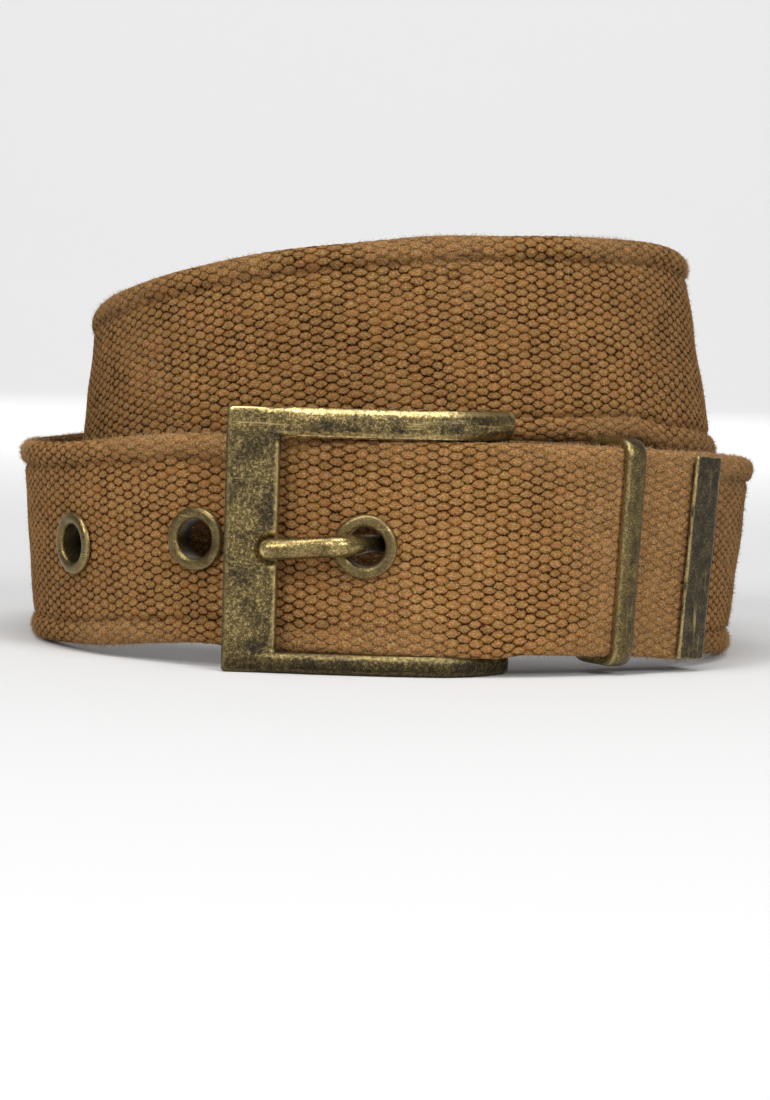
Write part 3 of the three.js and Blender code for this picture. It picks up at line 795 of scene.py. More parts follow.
@dataclass(frozen=True)
class FibreFinish:
    """Loose cotton fibres on the strap's surface."""

    name: str = "canvas_fibres"
    tint: Colour = (0.46, 0.275, 0.120)
    darkest: float = 0.55

    def build(self) -> bpy.types.Material:
        """Builds the material."""
        shader = Shader(self.name)
        tone = shader.noise(900.0, 1.0, 0.5).ramp(0.3, 0.7)
        shade = tuple(self.darkest * c for c in self.tint)
        shader.set("Base Color", shader.mix(tone, shade, self.tint))
        shader.set("Roughness", 0.9)
        shader.set("Specular IOR Level", 0.15)
        shader.set("Sheen Weight", 0.2)
        return shader.material


class Grain(Enum):
    """The way that a metal piece's scratches run."""

    LEVEL = (60.0, 60.0, 900.0)
    UPRIGHT = (900.0, 900.0, 45.0)


@dataclass(frozen=True)
class AntiqueBrassFinish:
    """Dark patinated brass plating, mottled and rubbed through to gold on its edges.

    patina is how much of the surface is dark, from 0 to 1, mottle_scale how fine the mottling is,
    edge_gain how far the edges are rubbed, and contrast how strong the mottling is.
    """

    name: str
    grain: Grain
    patina: float = 0.5
    mottle_scale: float = 1500.0
    edge_gain: float = 1.4
    contrast: float = 1.0
    roughness: float = 0.26
    dark: Colour = (0.026, 0.020, 0.011)
    middle: Colour = (0.180, 0.130, 0.050)
    gold: Colour = (0.760, 0.580, 0.240)
    deep_shade: float = 0.22

    def build(self) -> bpy.types.Material:
        """Builds the material."""
        shader = Shader(self.name)
        cloud = shader.noise(self.mottle_scale * 0.14, 3.0, 0.6)
        speck = shader.noise(self.mottle_scale, 4.0, 0.7)
        pit = shader.noise(self.mottle_scale * 2.7, 2.0, 0.6)
        lines = shader.noise(1.0, 3.0, 0.7, shader.stretched(self.grain.value))
        wear = shader.attribute("edge_wear")
        low = self.patina - 0.12 / self.contrast
        high = self.patina + 0.11 / self.contrast
        bare = (cloud * 0.42 + speck * 0.36 + pit * 0.22).ramp(low, high)
        rubbed = (wear * self.edge_gain * (speck * 1.4 + 0.2)).ramp(0.22, 0.85)
        scratch = lines.ramp(0.62, 0.72)
        colour = shader.mix(bare, self.dark, self.middle)
        glint = (speck * 0.5 + pit * 0.5).ramp(0.49, 0.64) * cloud.ramp(0.35, 0.6, 0.2, 1.0)
        colour = shader.mix(glint * (0.75 * self.contrast), colour, self.gold)
        colour = shader.mix(scratch * 0.5, colour, self.gold)
        colour = shader.mix(pit.ramp(0.58, 0.75) * (0.5 * self.contrast), colour, self.dark)
        colour = shader.mix(rubbed, colour, self.gold)
        # Painted shade from the stored shade mark: darker and rougher where the metal lies low or deep.
        shade = shader.attribute("shade")
        colour = shader.mix(shade, colour, tuple(self.deep_shade * c for c in self.dark))
        shader.set("Base Color", colour)
        shader.set("Metallic", (bare * 0.25 + 0.7).largest(rubbed * 0.98))
        rough = self.roughness + 0.14
        shader.set("Roughness", rough - bare * 0.16 - rubbed * 0.10 + pit * 0.06 + shade * 0.35)
        grain = shader.bump(lines, 0.03 * MM, 0.25)
        dents = shader.bump(speck, 0.06 * MM, 0.4, grain)
        shader.set("Normal", shader.bump(pit.ramp(0.55, 0.75), -0.04 * MM, 0.4, dents))
        return shader.material


@dataclass(frozen=True)
class FloorFinish:
    """Plain pale floor."""

    name: str = "studio_floor"
    tint: Colour = (0.72, 0.72, 0.72)

    def build(self) -> bpy.types.Material:
        """Builds the material."""
        shader = Shader(self.name)
        shader.set("Base Color", self.tint)
        shader.set("Roughness", 0.9)
        return shader.material


def new_piece(name: str, mesh: bpy.types.Mesh, material: bpy.types.Material) -> bpy.types.Object:
    """Links a mesh as a piece at the origin.

    Args:
        name: the piece's name, and its mesh's.
        mesh: the mesh, in metres.
        material: its one material.

    Returns:
        The piece.
    """
    mesh.name = name
    piece = bpy.data.objects.new(name, mesh)
    bpy.context.scene.collection.objects.link(piece)
    piece.data.materials.clear()
    piece.data.materials.append(material)
    return piece


def mesh_from(points_mm: np.ndarray, quads: np.ndarray, uv: Optional[np.ndarray] = None,
              extra: Sequence[Sequence[int]] = ()) -> bpy.types.Mesh:
    """Makes a smooth mesh from arrays.

    Args:
        points_mm: vertices, in millimetres.
        quads: four vertex numbers a face.
        uv: a pair for each corner of each quad, or nothing.
        extra: further faces of any size.

    Returns:
        The mesh, in metres.
    """
    mesh = bpy.data.meshes.new("part")
    faces = [list(f) for f in extra]
    corners = np.concatenate([quads.ravel(), *[np.array(f) for f in faces]]).astype(np.int32)
    counts = np.array([4] * len(quads) + [len(f) for f in faces], np.int32)
    starts = np.concatenate([[0], np.cumsum(counts)[:-1]]).astype(np.int32)
    mesh.vertices.add(len(points_mm))
    mesh.vertices.foreach_set("co", (points_mm * MM).astype(np.float32).ravel())
    mesh.loops.add(len(corners))
    mesh.loops.foreach_set("vertex_index", corners)
    mesh.polygons.add(len(counts))
    mesh.polygons.foreach_set("loop_start", starts)
    mesh.polygons.foreach_set("loop_total", counts)
    mesh.update(calc_edges=True)
    if uv is not None:
        layer = mesh.uv_layers.new(name="weave")
        flat = np.zeros((len(corners), 2), np.float32)
        flat[: 4 * len(quads)] = uv.reshape(-1, 2)
        layer.data.foreach_set("uv", flat.ravel())
    mesh.shade_smooth()
    return mesh


def outward(mesh: bpy.types.Mesh, weld_mm: float = 0.001) -> None:
    """Welds a closed mesh and turns all its faces outwards.

    Args:
        mesh: the mesh.
        weld_mm: how near points have to be to become one.
    """
    work = bmesh.new()
    work.from_mesh(mesh)
    bmesh.ops.remove_doubles(work, verts=work.verts, dist=weld_mm * MM)
    bmesh.ops.recalc_face_normals(work, faces=work.faces)
    work.to_mesh(mesh)
    work.free()
    mesh.update()


def sweep(rings: np.ndarray, closed: bool = False) -> bpy.types.Mesh:
    """Skin through rings of points, with flat ends unless the last ring meets the first.

    Args:
        rings: an array of rings by points by 3, in millimetres.
        closed: whether the skin joins up end to end.

    Returns:
        The mesh, with its faces outwards.
    """
    count, size, _ = rings.shape
    i = np.arange(count if closed else count - 1)[:, None]
    j = np.arange(size)[None, :]
    a = i * size + j
    b = i * size + (j + 1) % size
    following = ((i + 1) % count) * size
    quads = np.stack([a, b, following + (j + 1) % size, following + j], axis=-1).reshape(-1, 4)
    ends = [] if closed else [list(range(size))[::-1], list(range((count - 1) * size, count * size))]
    mesh = mesh_from(rings.reshape(-1, 3), quads, None, ends)
    outward(mesh)
    return mesh


def apply_modifiers(piece: bpy.types.Object) -> None:
    """Replaces a piece's mesh by what its modifiers make of it.

    Args:
        piece: the piece.
    """
    graph = bpy.context.evaluated_depsgraph_get()
    made = bpy.data.meshes.new_from_object(piece.evaluated_get(graph), depsgraph=graph)
    old = piece.data
    piece.modifiers.clear()
    piece.data = made
    made.name = piece.name
    bpy.data.meshes.remove(old)


def extruded(outline: Sequence[tuple[float, float]], low: float, high: float) -> bpy.types.Mesh:
    """Upright prism of an outline.

    Args:
        outline: the outline's points, in millimetres.
        low: its lower end.
        high: its upper end.

    Returns:
        The mesh, with its faces outwards.
    """
    ring = np.array(outline, float)
    rings = np.stack([np.column_stack([ring, np.full(len(ring), z)]) for z in (low, high)])
    mesh = sweep(rings)
    mesh.shade_flat()
    return mesh


def rounded_outline(width: float, height: float, radius: float, steps: int) -> list[tuple[float, float]]:
    """Outline of a rectangle with round corners, centred on the origin.

    Args:
        width: its width, in millimetres.
        height: its height.
        radius: its corners' radius.
        steps: how many steps a corner has.

    Returns:
        The outline's points.
    """
    points = []
    for quarter, (sx, sy) in enumerate([(1, 1), (-1, 1), (-1, -1), (1, -1)]):
        for k in range(steps + 1):
            angle = math.pi / 2 * (quarter + k / steps)
            x = sx * (width / 2 - radius) + radius * math.cos(angle)
            y = sy * (height / 2 - radius) + radius * math.sin(angle)
            points.append((x, y))
    return points


class Waves:
    """Smooth seeded unevenness: a sum of sine waves over two coordinates."""

    def __init__(self, seed: int, size: float, height: float, count: int = 7) -> None:
        """Picks the waves.

        Args:
            seed: seed for their directions and phases.
            size: rough distance between bumps, in the coordinates' unit.
            height: rough height of the bumps.
            count: how many waves are summed.
        """
        generator = np.random.default_rng(seed)
        angle = generator.uniform(0, 2 * math.pi, count)
        pitch = size * generator.uniform(0.7, 1.6, count)
        self.kx = 2 * math.pi * np.cos(angle) / pitch
        self.ky = 2 * math.pi * np.sin(angle) / pitch
        self.phase = generator.uniform(0, 2 * math.pi, count)
        self.scale = 1 / math.sqrt(count)
        self.height = height

    def at(self, x: np.ndarray, y: np.ndarray) -> np.ndarray:
        """The unevenness at some places.

        Args:
            x: the first coordinate.
            y: the second coordinate.

        Returns:
            Its value at each place.
        """
        total = np.zeros(np.broadcast(x, y).shape)
        for kx, ky, phase in zip(self.kx, self.ky, self.phase):
            total = total + np.sin(kx * x + ky * y + phase)
        return self.height * (total * self.scale)


class StrapLength(NamedTuple):
    """One length of the strap: the turn where it ends and the step between its rings, in mm."""

    end_turn: float
    step: float


@dataclass(frozen=True)
class Stretch:
    """A stretch of the strap, in turns, where an amount eases in and out again."""

    start: float
    end: float
    ease: float
    amount: float

    def strength(self, turns: np.ndarray) -> np.ndarray:
        """The amount at some turns: whole inside the stretch and none outside it."""
        rise = np.clip((turns - self.start) / self.ease, 0, 1)
        return self.amount * (rise * np.clip((self.end - turns) / self.ease, 0, 1))


@dataclass
class Skin:
    """The strap's surface, ring by ring, with its weave coordinates and the marks its finish reads."""

    girth: float
    points: np.ndarray
    weave_s: np.ndarray
    weave_t: np.ndarray
    marks: dict[str, np.ndarray]

    def part(self, first: int, last: int) -> "Skin":
        """The skin from one ring to another."""
        rings = slice(first, last + 1)
        marks = {name: values[rings] for name, values in self.marks.items()}
        return Skin(self.girth, self.points[rings], self.weave_s[rings], self.weave_t[rings], marks)


@dataclass
class WebbingStrap:
    """The woven strap: its rolled rims, its weave, its eyelet holes and its brushed stretches.

    Where it sags, the soft lower edge hangs lower by that many millimetres. Where it is brushed,
    the cloth is fuzzier.
    """

    path: StrapPath
    step_across: float = 0.44
    edge_bends: int = 6
    rim_proud: float = 0.62
    rim_square: float = 0.8
    rim_groove: float = 0.55
    groove_width: float = 0.5
    plain_groove: float = 0.25
    uneven_height: float = 0.10
    plain_uneven: float = 0.35
    hole_radius: float = 4.35
    slot_half_height: float = 2.35
    slot_before: float = 8.0
    slot_after: float = 7.0
    sag_height: float = 12.0
    rim_fuzz: float = 0.55
    fuzz_reach: float = 5.2
    fuzz_flattens: float = 0.5
    knuckle_middle: float = 0.45
    # Painted shade in the groove beside each rolled rim: how dark it is, and how much stays where the rim is
    # flat.
    groove_shade_depth: float = 0.34
    plain_groove_shade: float = 0.2
    worn_from: float = 560.0
    worn_over: float = 80.0
    # Painted shade on the inner face: the height it deepens below, the height it deepens over, and how strong
    # it is.
    inner_light: float = 50.0
    inner_fade: float = 16.0
    inner_shade: float = 0.35
    inner_deeper: float = 0.5
    brushed: tuple[Stretch, ...] = (
        Stretch(58, 112, 14, 0.42), Stretch(736, 792, 24, 0.6), Stretch(430, 480, 14, 0.2),
    )
    sags: tuple[Stretch, ...] = (Stretch(410, 470, 10, 2.4), Stretch(694, 741, 4, 0.7))
    lengths: tuple[StrapLength, ...] = (
        StrapLength(130, 0.72),
        StrapLength(330, 0.72),
        StrapLength(500, 0.54),
        StrapLength(610, 0.72),
        StrapLength(773, 0.54),
    )

    def _half_ring(self) -> np.ndarray:
        """Distances from the lower edge, up one face to the upper edge."""
        width = self.path.sizes.strap_width
        round_size = self.path.sizes.strap_thickness / 2
        bends = np.linspace(0, math.pi / 2, self.edge_bends)[:-1]
        lower = round_size * (1 - np.cos(bends))
        count = int(round((width - 2 * round_size) / self.step_across)) + 1
        middle = np.linspace(round_size, width - round_size, count)
        return np.concatenate([lower, middle, width - lower[::-1]])

    def _heights(self) -> np.ndarray:
        """Heights of a whole ring's points, up the outer face and down the inner one."""
        height = self._half_ring()
        return np.concatenate([height, height[-2:0:-1]])

    def _thickness(self, height: np.ndarray, rim: np.ndarray) -> np.ndarray:
        """Half the strap's thickness.

        Args:
            height: heights above the lower edge.
            rim: how much of the rolled rim is left, in a column.

        Returns:
            Half the thickness, a row for each rim and a column for each height.
        """
        sizes = self.path.sizes
        round_size = sizes.strap_thickness / 2
        edge = np.minimum(height, sizes.strap_width - height)[None, :]
        swell = np.sin(math.pi * np.clip(edge / sizes.rim_width, 0, 1)) ** self.rim_square
        groove = np.exp(-(((edge - sizes.rim_width) / self.groove_width) ** 2))
        full = round_size + rim * self.rim_proud * swell
        full = full - (self.plain_groove + (1 - self.plain_groove) * rim) * self.rim_groove * groove
        bend = 1 - np.clip(edge / round_size, 0, 1)
        return full * np.sqrt(np.clip(1 - bend * bend, 0, 1))

    def _ring_places(self) -> tuple[np.ndarray, list[int]]:
        """Distances of the rings along the strap, and the ring numbers where its lengths meet."""
        ends = [self.path.distance_at(length.end_turn) for length in self.lengths]
        starts = [0.0, *ends[:-1]]
        places = [np.zeros(1)]
        cuts = [0]
        for start, end, length in zip(starts, ends, self.lengths):
            count = int(round((end - start) / length.step))
            places.append(np.linspace(start, end, count + 1)[1:])
            cuts.append(cuts[-1] + count)
        return np.concatenate(places), cuts

    def _plain_section(self, rim: np.ndarray, turned: np.ndarray) -> np.ndarray:
        """The strap's section before the weave is laid on it.

        Args:
            rim: how much of the rolled rim is left at each ring, in a column.
            turned: the turn of each ring.

        Returns:
            How far out and how far up each point of each ring is.
        """
        half = self._thickness(self._half_ring(), rim)
        outs = np.concatenate([half, -half[:, -2:0:-1]], axis=1)
        heights = self._heights()
        hanging = np.clip(1 - heights / self.sag_height, 0, 1)
        flat = np.broadcast_to(heights - self.path.sizes.strap_width / 2, outs.shape)
        for sag in self.sags:
            flat = flat - sag.strength(turned)[:, None] * hanging[None, :]
        return np.stack([outs, flat], axis=-1)

    def _fuzz(self, edge: np.ndarray, s: np.ndarray, t: np.ndarray, turned: np.ndarray) -> np.ndarray:
        """How brushed the cloth is, most on its rims and where it is brushed.

        Args:
            edge: distance of each point of a ring from the nearer edge.
            s: distances along the strap.
            t: distances round its section.
            turned: the turn of each ring.

        Returns:
            The fuzz of each point, from 0 to 1.
        """
        rims = self.rim_fuzz + Waves(SEED + 3, 23.0, 0.3).at(s, t)
        fuzz = np.clip(1.25 - edge / self.fuzz_reach, 0, 1) * rims
        fuzz = fuzz + Waves(SEED + 4, 34.0, 0.22).at(s, t)
        for stretch in self.brushed:
            fuzz = fuzz + stretch.strength(turned)[:, None]
        return np.clip(fuzz, 0, 1)

    def _painted_groove_shade(self, edge: np.ndarray, s: np.ndarray, t: np.ndarray, rim: np.ndarray) -> np.ndarray:
        """Painted shade in the groove beside each rolled rim.

        Args:
            edge: distance of each point of a ring from the nearer edge.
            s: distances along the strap.
            t: distances round its section.
            rim: how much of the rolled rim is left at each ring, in a column.

        Returns:
            The darkening of each point.
        """
        groove = np.exp(-(((edge - self.path.sizes.rim_width) / (1.1 * self.groove_width)) ** 2))
        wander = 0.75 + Waves(SEED + 6, 12.0, 0.35).at(s, t)
        rolled = self.plain_groove_shade + (1 - self.plain_groove_shade) * rim
        return self.groove_shade_depth * np.clip(groove * wander * rolled, 0, 1)

    def _painted_inner_shade(self, height: np.ndarray) -> np.ndarray:
        """Painted shade on the strap's inner face, darker deep in the coil.

        Args:
            height: the height of each point of each ring.

        Returns:
            The darkening of each point.
        """
        ring = height.shape[1]
        inner = (np.arange(ring) >= len(self._half_ring())).astype(float)[None, :]
        low = np.clip((self.inner_light - height) / self.inner_fade, 0, 1)
        return inner * (self.inner_shade + self.inner_deeper * low)

    def _skin(self, distances: np.ndarray) -> Skin:
        """The whole strap's skin.

        Args:
            distances: distances of its rings along the strap.

        Returns:
            The skin, with the weave in relief.
        """
        path = self.path
        centre, _, out, up, rim = path.frames(distances)
        rim = rim[:, None]
        turned = np.interp(distances, path.distance[path.outer_start:], path.turn[path.outer_start:])
        heights = self._heights()
        edge = np.minimum(heights, path.sizes.strap_width - heights)[None, :]
        section = self._plain_section(rim, turned)
        step = np.roll(section, -1, axis=1) - np.roll(section, 1, axis=1)
        normal = unit(np.stack([step[..., 1], -step[..., 0]], axis=-1))
        girth_steps = np.linalg.norm(np.roll(section[0], -1, axis=0) - section[0], axis=1)
        girth = np.concatenate([[0.0], np.cumsum(girth_steps)])

        shape = section.shape[:2]
        s = np.broadcast_to(distances[:, None], shape)
        t = np.broadcast_to(girth[None, :-1], shape)
        weave_s = s + Waves(SEED, 5.5, 0.16).at(s, t) + Waves(SEED + 1, 2.6, 0.07).at(s, t)
        weave_t = t + Waves(SEED + 2, 7.0, 0.08).at(s, t)
        fuzz = self._fuzz(edge, s, t, turned)
        knuckles = np.clip(WEAVE.height(weave_s, weave_t), WEAVE.lowest, WEAVE.highest) - self.knuckle_middle
        relief = WEAVE.relief * knuckles * (1 - self.fuzz_flattens * fuzz)
        slack = self.plain_uneven + (1 - self.plain_uneven) * rim
        uneven = Waves(SEED + 5, 16.0, self.uneven_height).at(s, t) * slack
        section = section + normal * (relief + uneven)[..., None]
        points = centre[:, None, :] + out[:, None, :] * section[..., 0:1] + up[:, None, :] * section[..., 1:2]
        worn = np.clip((turned - self.worn_from) / self.worn_over, 0, 1)
        # Painted shade: the grooves beside the rims and the strap's inner face.
        painted_shade = np.maximum(self._painted_groove_shade(edge, s, t, rim), self._painted_inner_shade(points[..., 2]))
        marks = {"fuzz": fuzz, "worn": np.broadcast_to(worn[:, None], shape), "painted_shade": painted_shade}
        return Skin(float(girth[-1]), points, weave_s, weave_t, marks)

    def _kept(self, distances: np.ndarray) -> np.ndarray:
        """Which quads of one face stay: those outside the eyelet holes and the prong's slot.

        Args:
            distances: distances of the rings along the strap.

        Returns:
            Whether each quad stays, a row for each pair of rings.
        """
        sizes = self.path.sizes
        height = self._half_ring()
        up = (height[:-1] + height[1:]) / 2 - sizes.strap_width / 2
        middle = (distances[:-1] + distances[1:]) / 2
        keep = np.ones((len(middle), len(up)), bool)
        for turn in sizes.eyelet_turns:
            away = np.hypot(middle[:, None] - self.path.distance_at(turn), up[None, :])
            keep &= away > self.hole_radius
        fold = self.path.distance_at(sizes.heel_turn) - math.pi * sizes.fold_radius / 2
        beside = (middle > fold - self.slot_before) & (middle < fold + self.slot_after)
        keep &= ~(beside[:, None] & (np.abs(up)[None, :] < self.slot_half_height))
        return keep

    def build(self, material: bpy.types.Material) -> list[bpy.types.Object]:
        """Builds the strap in a few lengths, each one closed.

        Args:
            material: the canvas.

        Returns:
            The lengths of strap, in order along it.
        """
        distances, cuts = self._ring_places()
        skin = self._skin(distances)
        keep = self._kept(distances)
        pieces = []
        for number, (first, last) in enumerate(zip(cuts[:-1], cuts[1:]), start=1):
            part = skin.part(first, last)
            mesh = self._length(part, keep[first:last])
            for mark, values in part.marks.items():
                layer = mesh.attributes.new(mark, "FLOAT", "POINT")
                layer.data.foreach_set("value", values.astype(np.float32).ravel())
            pieces.append(new_piece(f"strap_length_{number}", mesh, material))
        return pieces

    def _length(self, skin: Skin, keep: np.ndarray) -> bpy.types.Mesh:
        """One closed length of strap.

        Args:
            skin: the length's skin.
            keep: which quads of one face stay, for each pair of rings.

        Returns:
            The length's mesh.
        """
        rings, size, _ = skin.points.shape
        i = np.arange(rings - 1)[:, None]
        j = np.arange(size)[None, :]
        here = i * size + j
        beside = i * size + (j + 1) % size
        quads = np.stack([here, here + size, beside + size, beside], -1)
        stays = np.concatenate([keep, keep[:, ::-1]], axis=1)
        wrap = np.where(j == size - 1, skin.girth, 0.0)
        s, t = skin.weave_s, skin.weave_t
        next_s, next_t = np.roll(s, -1, 1), np.roll(t, -1, 1)
        uv_s = np.stack([s[:-1], s[1:], next_s[1:], next_s[:-1]], -1)
        uv_t = np.stack([t[:-1], t[1:], next_t[1:] + wrap, next_t[:-1] + wrap], -1)
        uv = np.stack([uv_s, uv_t], -1) * UV_MM
        walls = self._hole_walls(keep, size)
        ends = [list(range(size)), list(range((rings - 1) * size, rings * size))[::-1]]
        corners = np.concatenate([uv[stays], np.zeros((len(walls), 4, 2))])
        return mesh_from(skin.points.reshape(-1, 3), np.concatenate([quads[stays], walls]), corners, ends)

    def _hole_walls(self, keep: np.ndarray, size: int) -> np.ndarray:
        """Quads that join the strap's two faces round each hole.

        Args:
            keep: which quads of one face stay.
            size: how many points a ring has.

        Returns:
            Four point numbers for each quad.
        """
        walls = []
        last_row, last_column = keep.shape[0] - 1, keep.shape[1] - 1

        def outer(i: int, j: int) -> int:
            """Number of a point on the outer face."""
            return i * size + j

        def inner(i: int, j: int) -> int:
            """Number of the point behind it on the inner face."""
            return i * size + (size - j) % size

        for i, j in np.argwhere(~keep):
            if i == 0 or keep[i - 1, j]:
                walls.append([outer(i, j), inner(i, j), inner(i, j + 1), outer(i, j + 1)])
            if i == last_row or keep[i + 1, j]:
                walls.append([outer(i + 1, j + 1), inner(i + 1, j + 1), inner(i + 1, j), outer(i + 1, j)])
            if keep[i, j - 1]:
                walls.append([outer(i + 1, j), inner(i + 1, j), inner(i, j), outer(i, j)])
            if keep[i, min(j + 1, last_column)]:
                walls.append([outer(i, j + 1), inner(i, j + 1), inner(i + 1, j + 1), outer(i + 1, j + 1)])
        return np.array(walls, int).reshape(-1, 4)


@dataclass(frozen=True)
class FibreLayer:
    """Loose fibres on the strap, scattered by Geometry Nodes where it is brushed.

    density is how many fibres stand on a square metre of the fuzziest cloth, sparse the share that
    stands elsewhere, and lean is in radians.
    """

    density: float = 5.5e6
    sparse: float = 0.02
    crowding: float = 2.2
    length: float = 0.8
    radius: float = 0.045
    lean: float = 1.15
    shortest: float = 0.45
    longest: float = 1.35

    def _tree(self) -> bpy.types.NodeTree:
        """Builds the node group, with named inputs."""
        tree = bpy.data.node_groups.new("loose_fibres", "GeometryNodeTree")
        inputs = [("Surface", "Geometry"), ("Density", "Float"), ("Length", "Float"), ("Radius", "Float"),
                  ("Seed", "Int"), ("Fibre", "Material")]
        for name, kind in inputs:
            tree.interface.new_socket(name, in_out="INPUT", socket_type=f"NodeSocket{kind}")
        tree.interface.new_socket("Fibres", in_out="OUTPUT", socket_type="NodeSocketGeometry")
        given = tree.nodes.new("NodeGroupInput").outputs

        def add(kind: str, settings: Optional[dict] = None, sockets: Optional[dict] = None) -> bpy.types.Node:
            """Adds a node.

            Args:
                kind: its type.
                settings: its properties.
                sockets: values or sockets for its inputs.

            Returns:
                The node.
            """
            made = tree.nodes.new(kind)
            for key, value in (settings or {}).items():
                setattr(made, key, value)
            for key, value in (sockets or {}).items():
                if isinstance(value, bpy.types.NodeSocket):
                    tree.links.new(value, made.inputs[key])
                else:
                    made.inputs[key].default_value = value
            return made

        named = add("GeometryNodeInputNamedAttribute", {"data_type": "FLOAT"}, {"Name": "fuzz"})
        full = add("ShaderNodeMath", {"operation": "POWER"},
                   {0: named.outputs["Attribute"], 1: self.crowding})
        part = add("ShaderNodeMath", {"operation": "ADD"}, {0: full.outputs[0], 1: self.sparse})
        dense = add("ShaderNodeMath", {"operation": "MULTIPLY"}, {0: part.outputs[0], 1: given["Density"]})
        spread = add("GeometryNodeDistributePointsOnFaces", None,
                     {"Mesh": given["Surface"], "Density": dense.outputs[0], "Seed": given["Seed"]})
        cone = add("GeometryNodeMeshCone", None,
                   {"Vertices": 3, "Radius Bottom": given["Radius"], "Depth": given["Length"]})
        least, most = (-self.lean, -self.lean, -math.pi), (self.lean, self.lean, math.pi)
        tilt = add("FunctionNodeRandomValue", {"data_type": "FLOAT_VECTOR"},
                   {0: least, 1: most, "Seed": given["Seed"]})
        turn = add("FunctionNodeEulerToRotation", None, {0: tilt.outputs[0]})
        stand = add("FunctionNodeRotateRotation", {"rotation_space": "LOCAL"},
                    {0: spread.outputs["Rotation"], 1: turn.outputs[0]})
        size = add("FunctionNodeRandomValue", {"data_type": "FLOAT"},
                   {2: self.shortest, 3: self.longest, "Seed": given["Seed"]})
        place = add("GeometryNodeInstanceOnPoints", None,
                    {"Points": spread.outputs["Points"], "Instance": cone.outputs["Mesh"],
                     "Rotation": stand.outputs[0], "Scale": size.outputs[1]})
        real = add("GeometryNodeRealizeInstances", None, {0: place.outputs[0]})
        coloured = add("GeometryNodeSetMaterial", None,
                       {"Geometry": real.outputs[0], "Material": given["Fibre"]})
        add("NodeGroupOutput", None, {0: coloured.outputs[0]})
        return tree

    def build(self, strap: bpy.types.Object, number: int, material: bpy.types.Material) -> bpy.types.Object:
        """Scatters fibres on one length of strap.

        Args:
            strap: the length of strap.
            number: its number, which seeds the scatter too.
            material: the fibres' material.

        Returns:
            The fibres, as a piece of their own.
        """
        tree = bpy.data.node_groups.get("loose_fibres") or self._tree()
        work = bpy.data.objects.new("scatter", strap.data.copy())
        bpy.context.scene.collection.objects.link(work)
        modifier = work.modifiers.new("fibres", "NODES")
        modifier.node_group = tree
        values = {"Density": self.density, "Length": self.length * MM, "Radius": self.radius * MM,
                  "Seed": SEED + number, "Fibre": material}
        for item in tree.interface.items_tree:
            if item.name in values:
                modifier[item.identifier] = values[item.name]
        apply_modifiers(work)
        mesh = work.data
        bpy.data.objects.remove(work)
        return new_piece(f"strap_fibres_{number}", mesh, material)


def store_wear(piece: bpy.types.Object, full_bend: float = 1.1, spread: int = 2) -> None:
    """Stores on each vertex how strongly the surface bulges there, for rubbed metal edges.

    Args:
        piece: the piece to mark.
        full_bend: the curvature, in 1/mm, that counts as a whole edge.
        spread: how many times the marks are blurred over their neighbours.
    """
    mesh = piece.data
    count = len(mesh.vertices)
    places = np.zeros(count * 3, np.float32)
    normals = np.zeros(count * 3, np.float32)
    ends = np.zeros(len(mesh.edges) * 2, np.int32)
    mesh.vertices.foreach_get("co", places)
    mesh.vertex_normals.foreach_get("vector", normals)
    mesh.edges.foreach_get("vertices", ends)
    places = places.reshape(-1, 3) / MM
    normals = normals.reshape(-1, 3)
    ends = ends.reshape(-1, 2)
    a, b = np.concatenate([ends[:, 0], ends[:, 1]]), np.concatenate([ends[:, 1], ends[:, 0]])
    offset = places[a] - places[b]
    square = np.maximum((offset * offset).sum(1), 1e-6)
    bend = 2 * (normals[a] * offset).sum(1) / square
    share = np.maximum(np.bincount(a, minlength=count), 1)
    wear = np.clip(np.bincount(a, bend, count) / share / full_bend, 0, 1)
    for _ in range(spread):
        wear = 0.5 * wear + 0.5 * np.bincount(a, wear[b], count) / share
    layer = mesh.attributes.new("edge_wear", "FLOAT", "POINT")
    layer.data.foreach_set("value", wear.astype(np.float32))


def store_painted_shade(piece: bpy.types.Object, centre: np.ndarray, way: np.ndarray, top: float, bottom: float,
                most: float = 1.0) -> None:
    """Stores on each vertex painted shade for the metal, stronger the deeper it lies along a direction; the
    finish also makes it rougher there.

    Args:
        piece: the piece to mark.
        centre: a place at height 0.
        way: the direction in which height grows.
        top: the height, in mm, where the darkening starts.
        bottom: the height where it is full.
        most: the full darkening.
    """
    places = np.array([v.co for v in piece.data.vertices]) / MM
    height = (places - centre) @ way
    shade = (most * np.clip((top - height) / (top - bottom), 0, 1)).astype(np.float32)
    layer = piece.data.attributes.get("shade")
    if layer is None:
        layer = piece.data.attributes.new("shade", "FLOAT", "POINT")
    before = np.zeros(len(shade), np.float32)
    layer.data.foreach_get("value", before)
    layer.data.foreach_set("value", np.maximum(before, shade))


def cast(piece: bpy.types.Object, voxel_mm: float, passes: int) -> None:
    """Fuses a piece's overlapping solids into one skin with softly rounded edges.

    Args:
        piece: the piece.
        voxel_mm: the size of the new skin's faces.
        passes: how many times it is smoothed.
    """
    remesh = piece.modifiers.new("fuse", "REMESH")
    remesh.mode = "VOXEL"
    remesh.voxel_size = voxel_mm * MM
    smooth = piece.modifiers.new("soften", "SMOOTH")
    smooth.factor = 0.5
    smooth.iterations = passes
    apply_modifiers(piece)
    piece.data.shade_smooth()
    store_wear(piece)


def joined(meshes: Sequence[bpy.types.Mesh]) -> bpy.types.Mesh:
    """One mesh that holds several.

    Args:
        meshes: the meshes, which it takes the place of.

    Returns:
        The joined mesh.
    """
    work = bmesh.new()
    for mesh in meshes:
        work.from_mesh(mesh)
        bpy.data.meshes.remove(mesh)
    whole = bpy.data.meshes.new("joined")
    work.to_mesh(whole)
    work.free()
    return whole


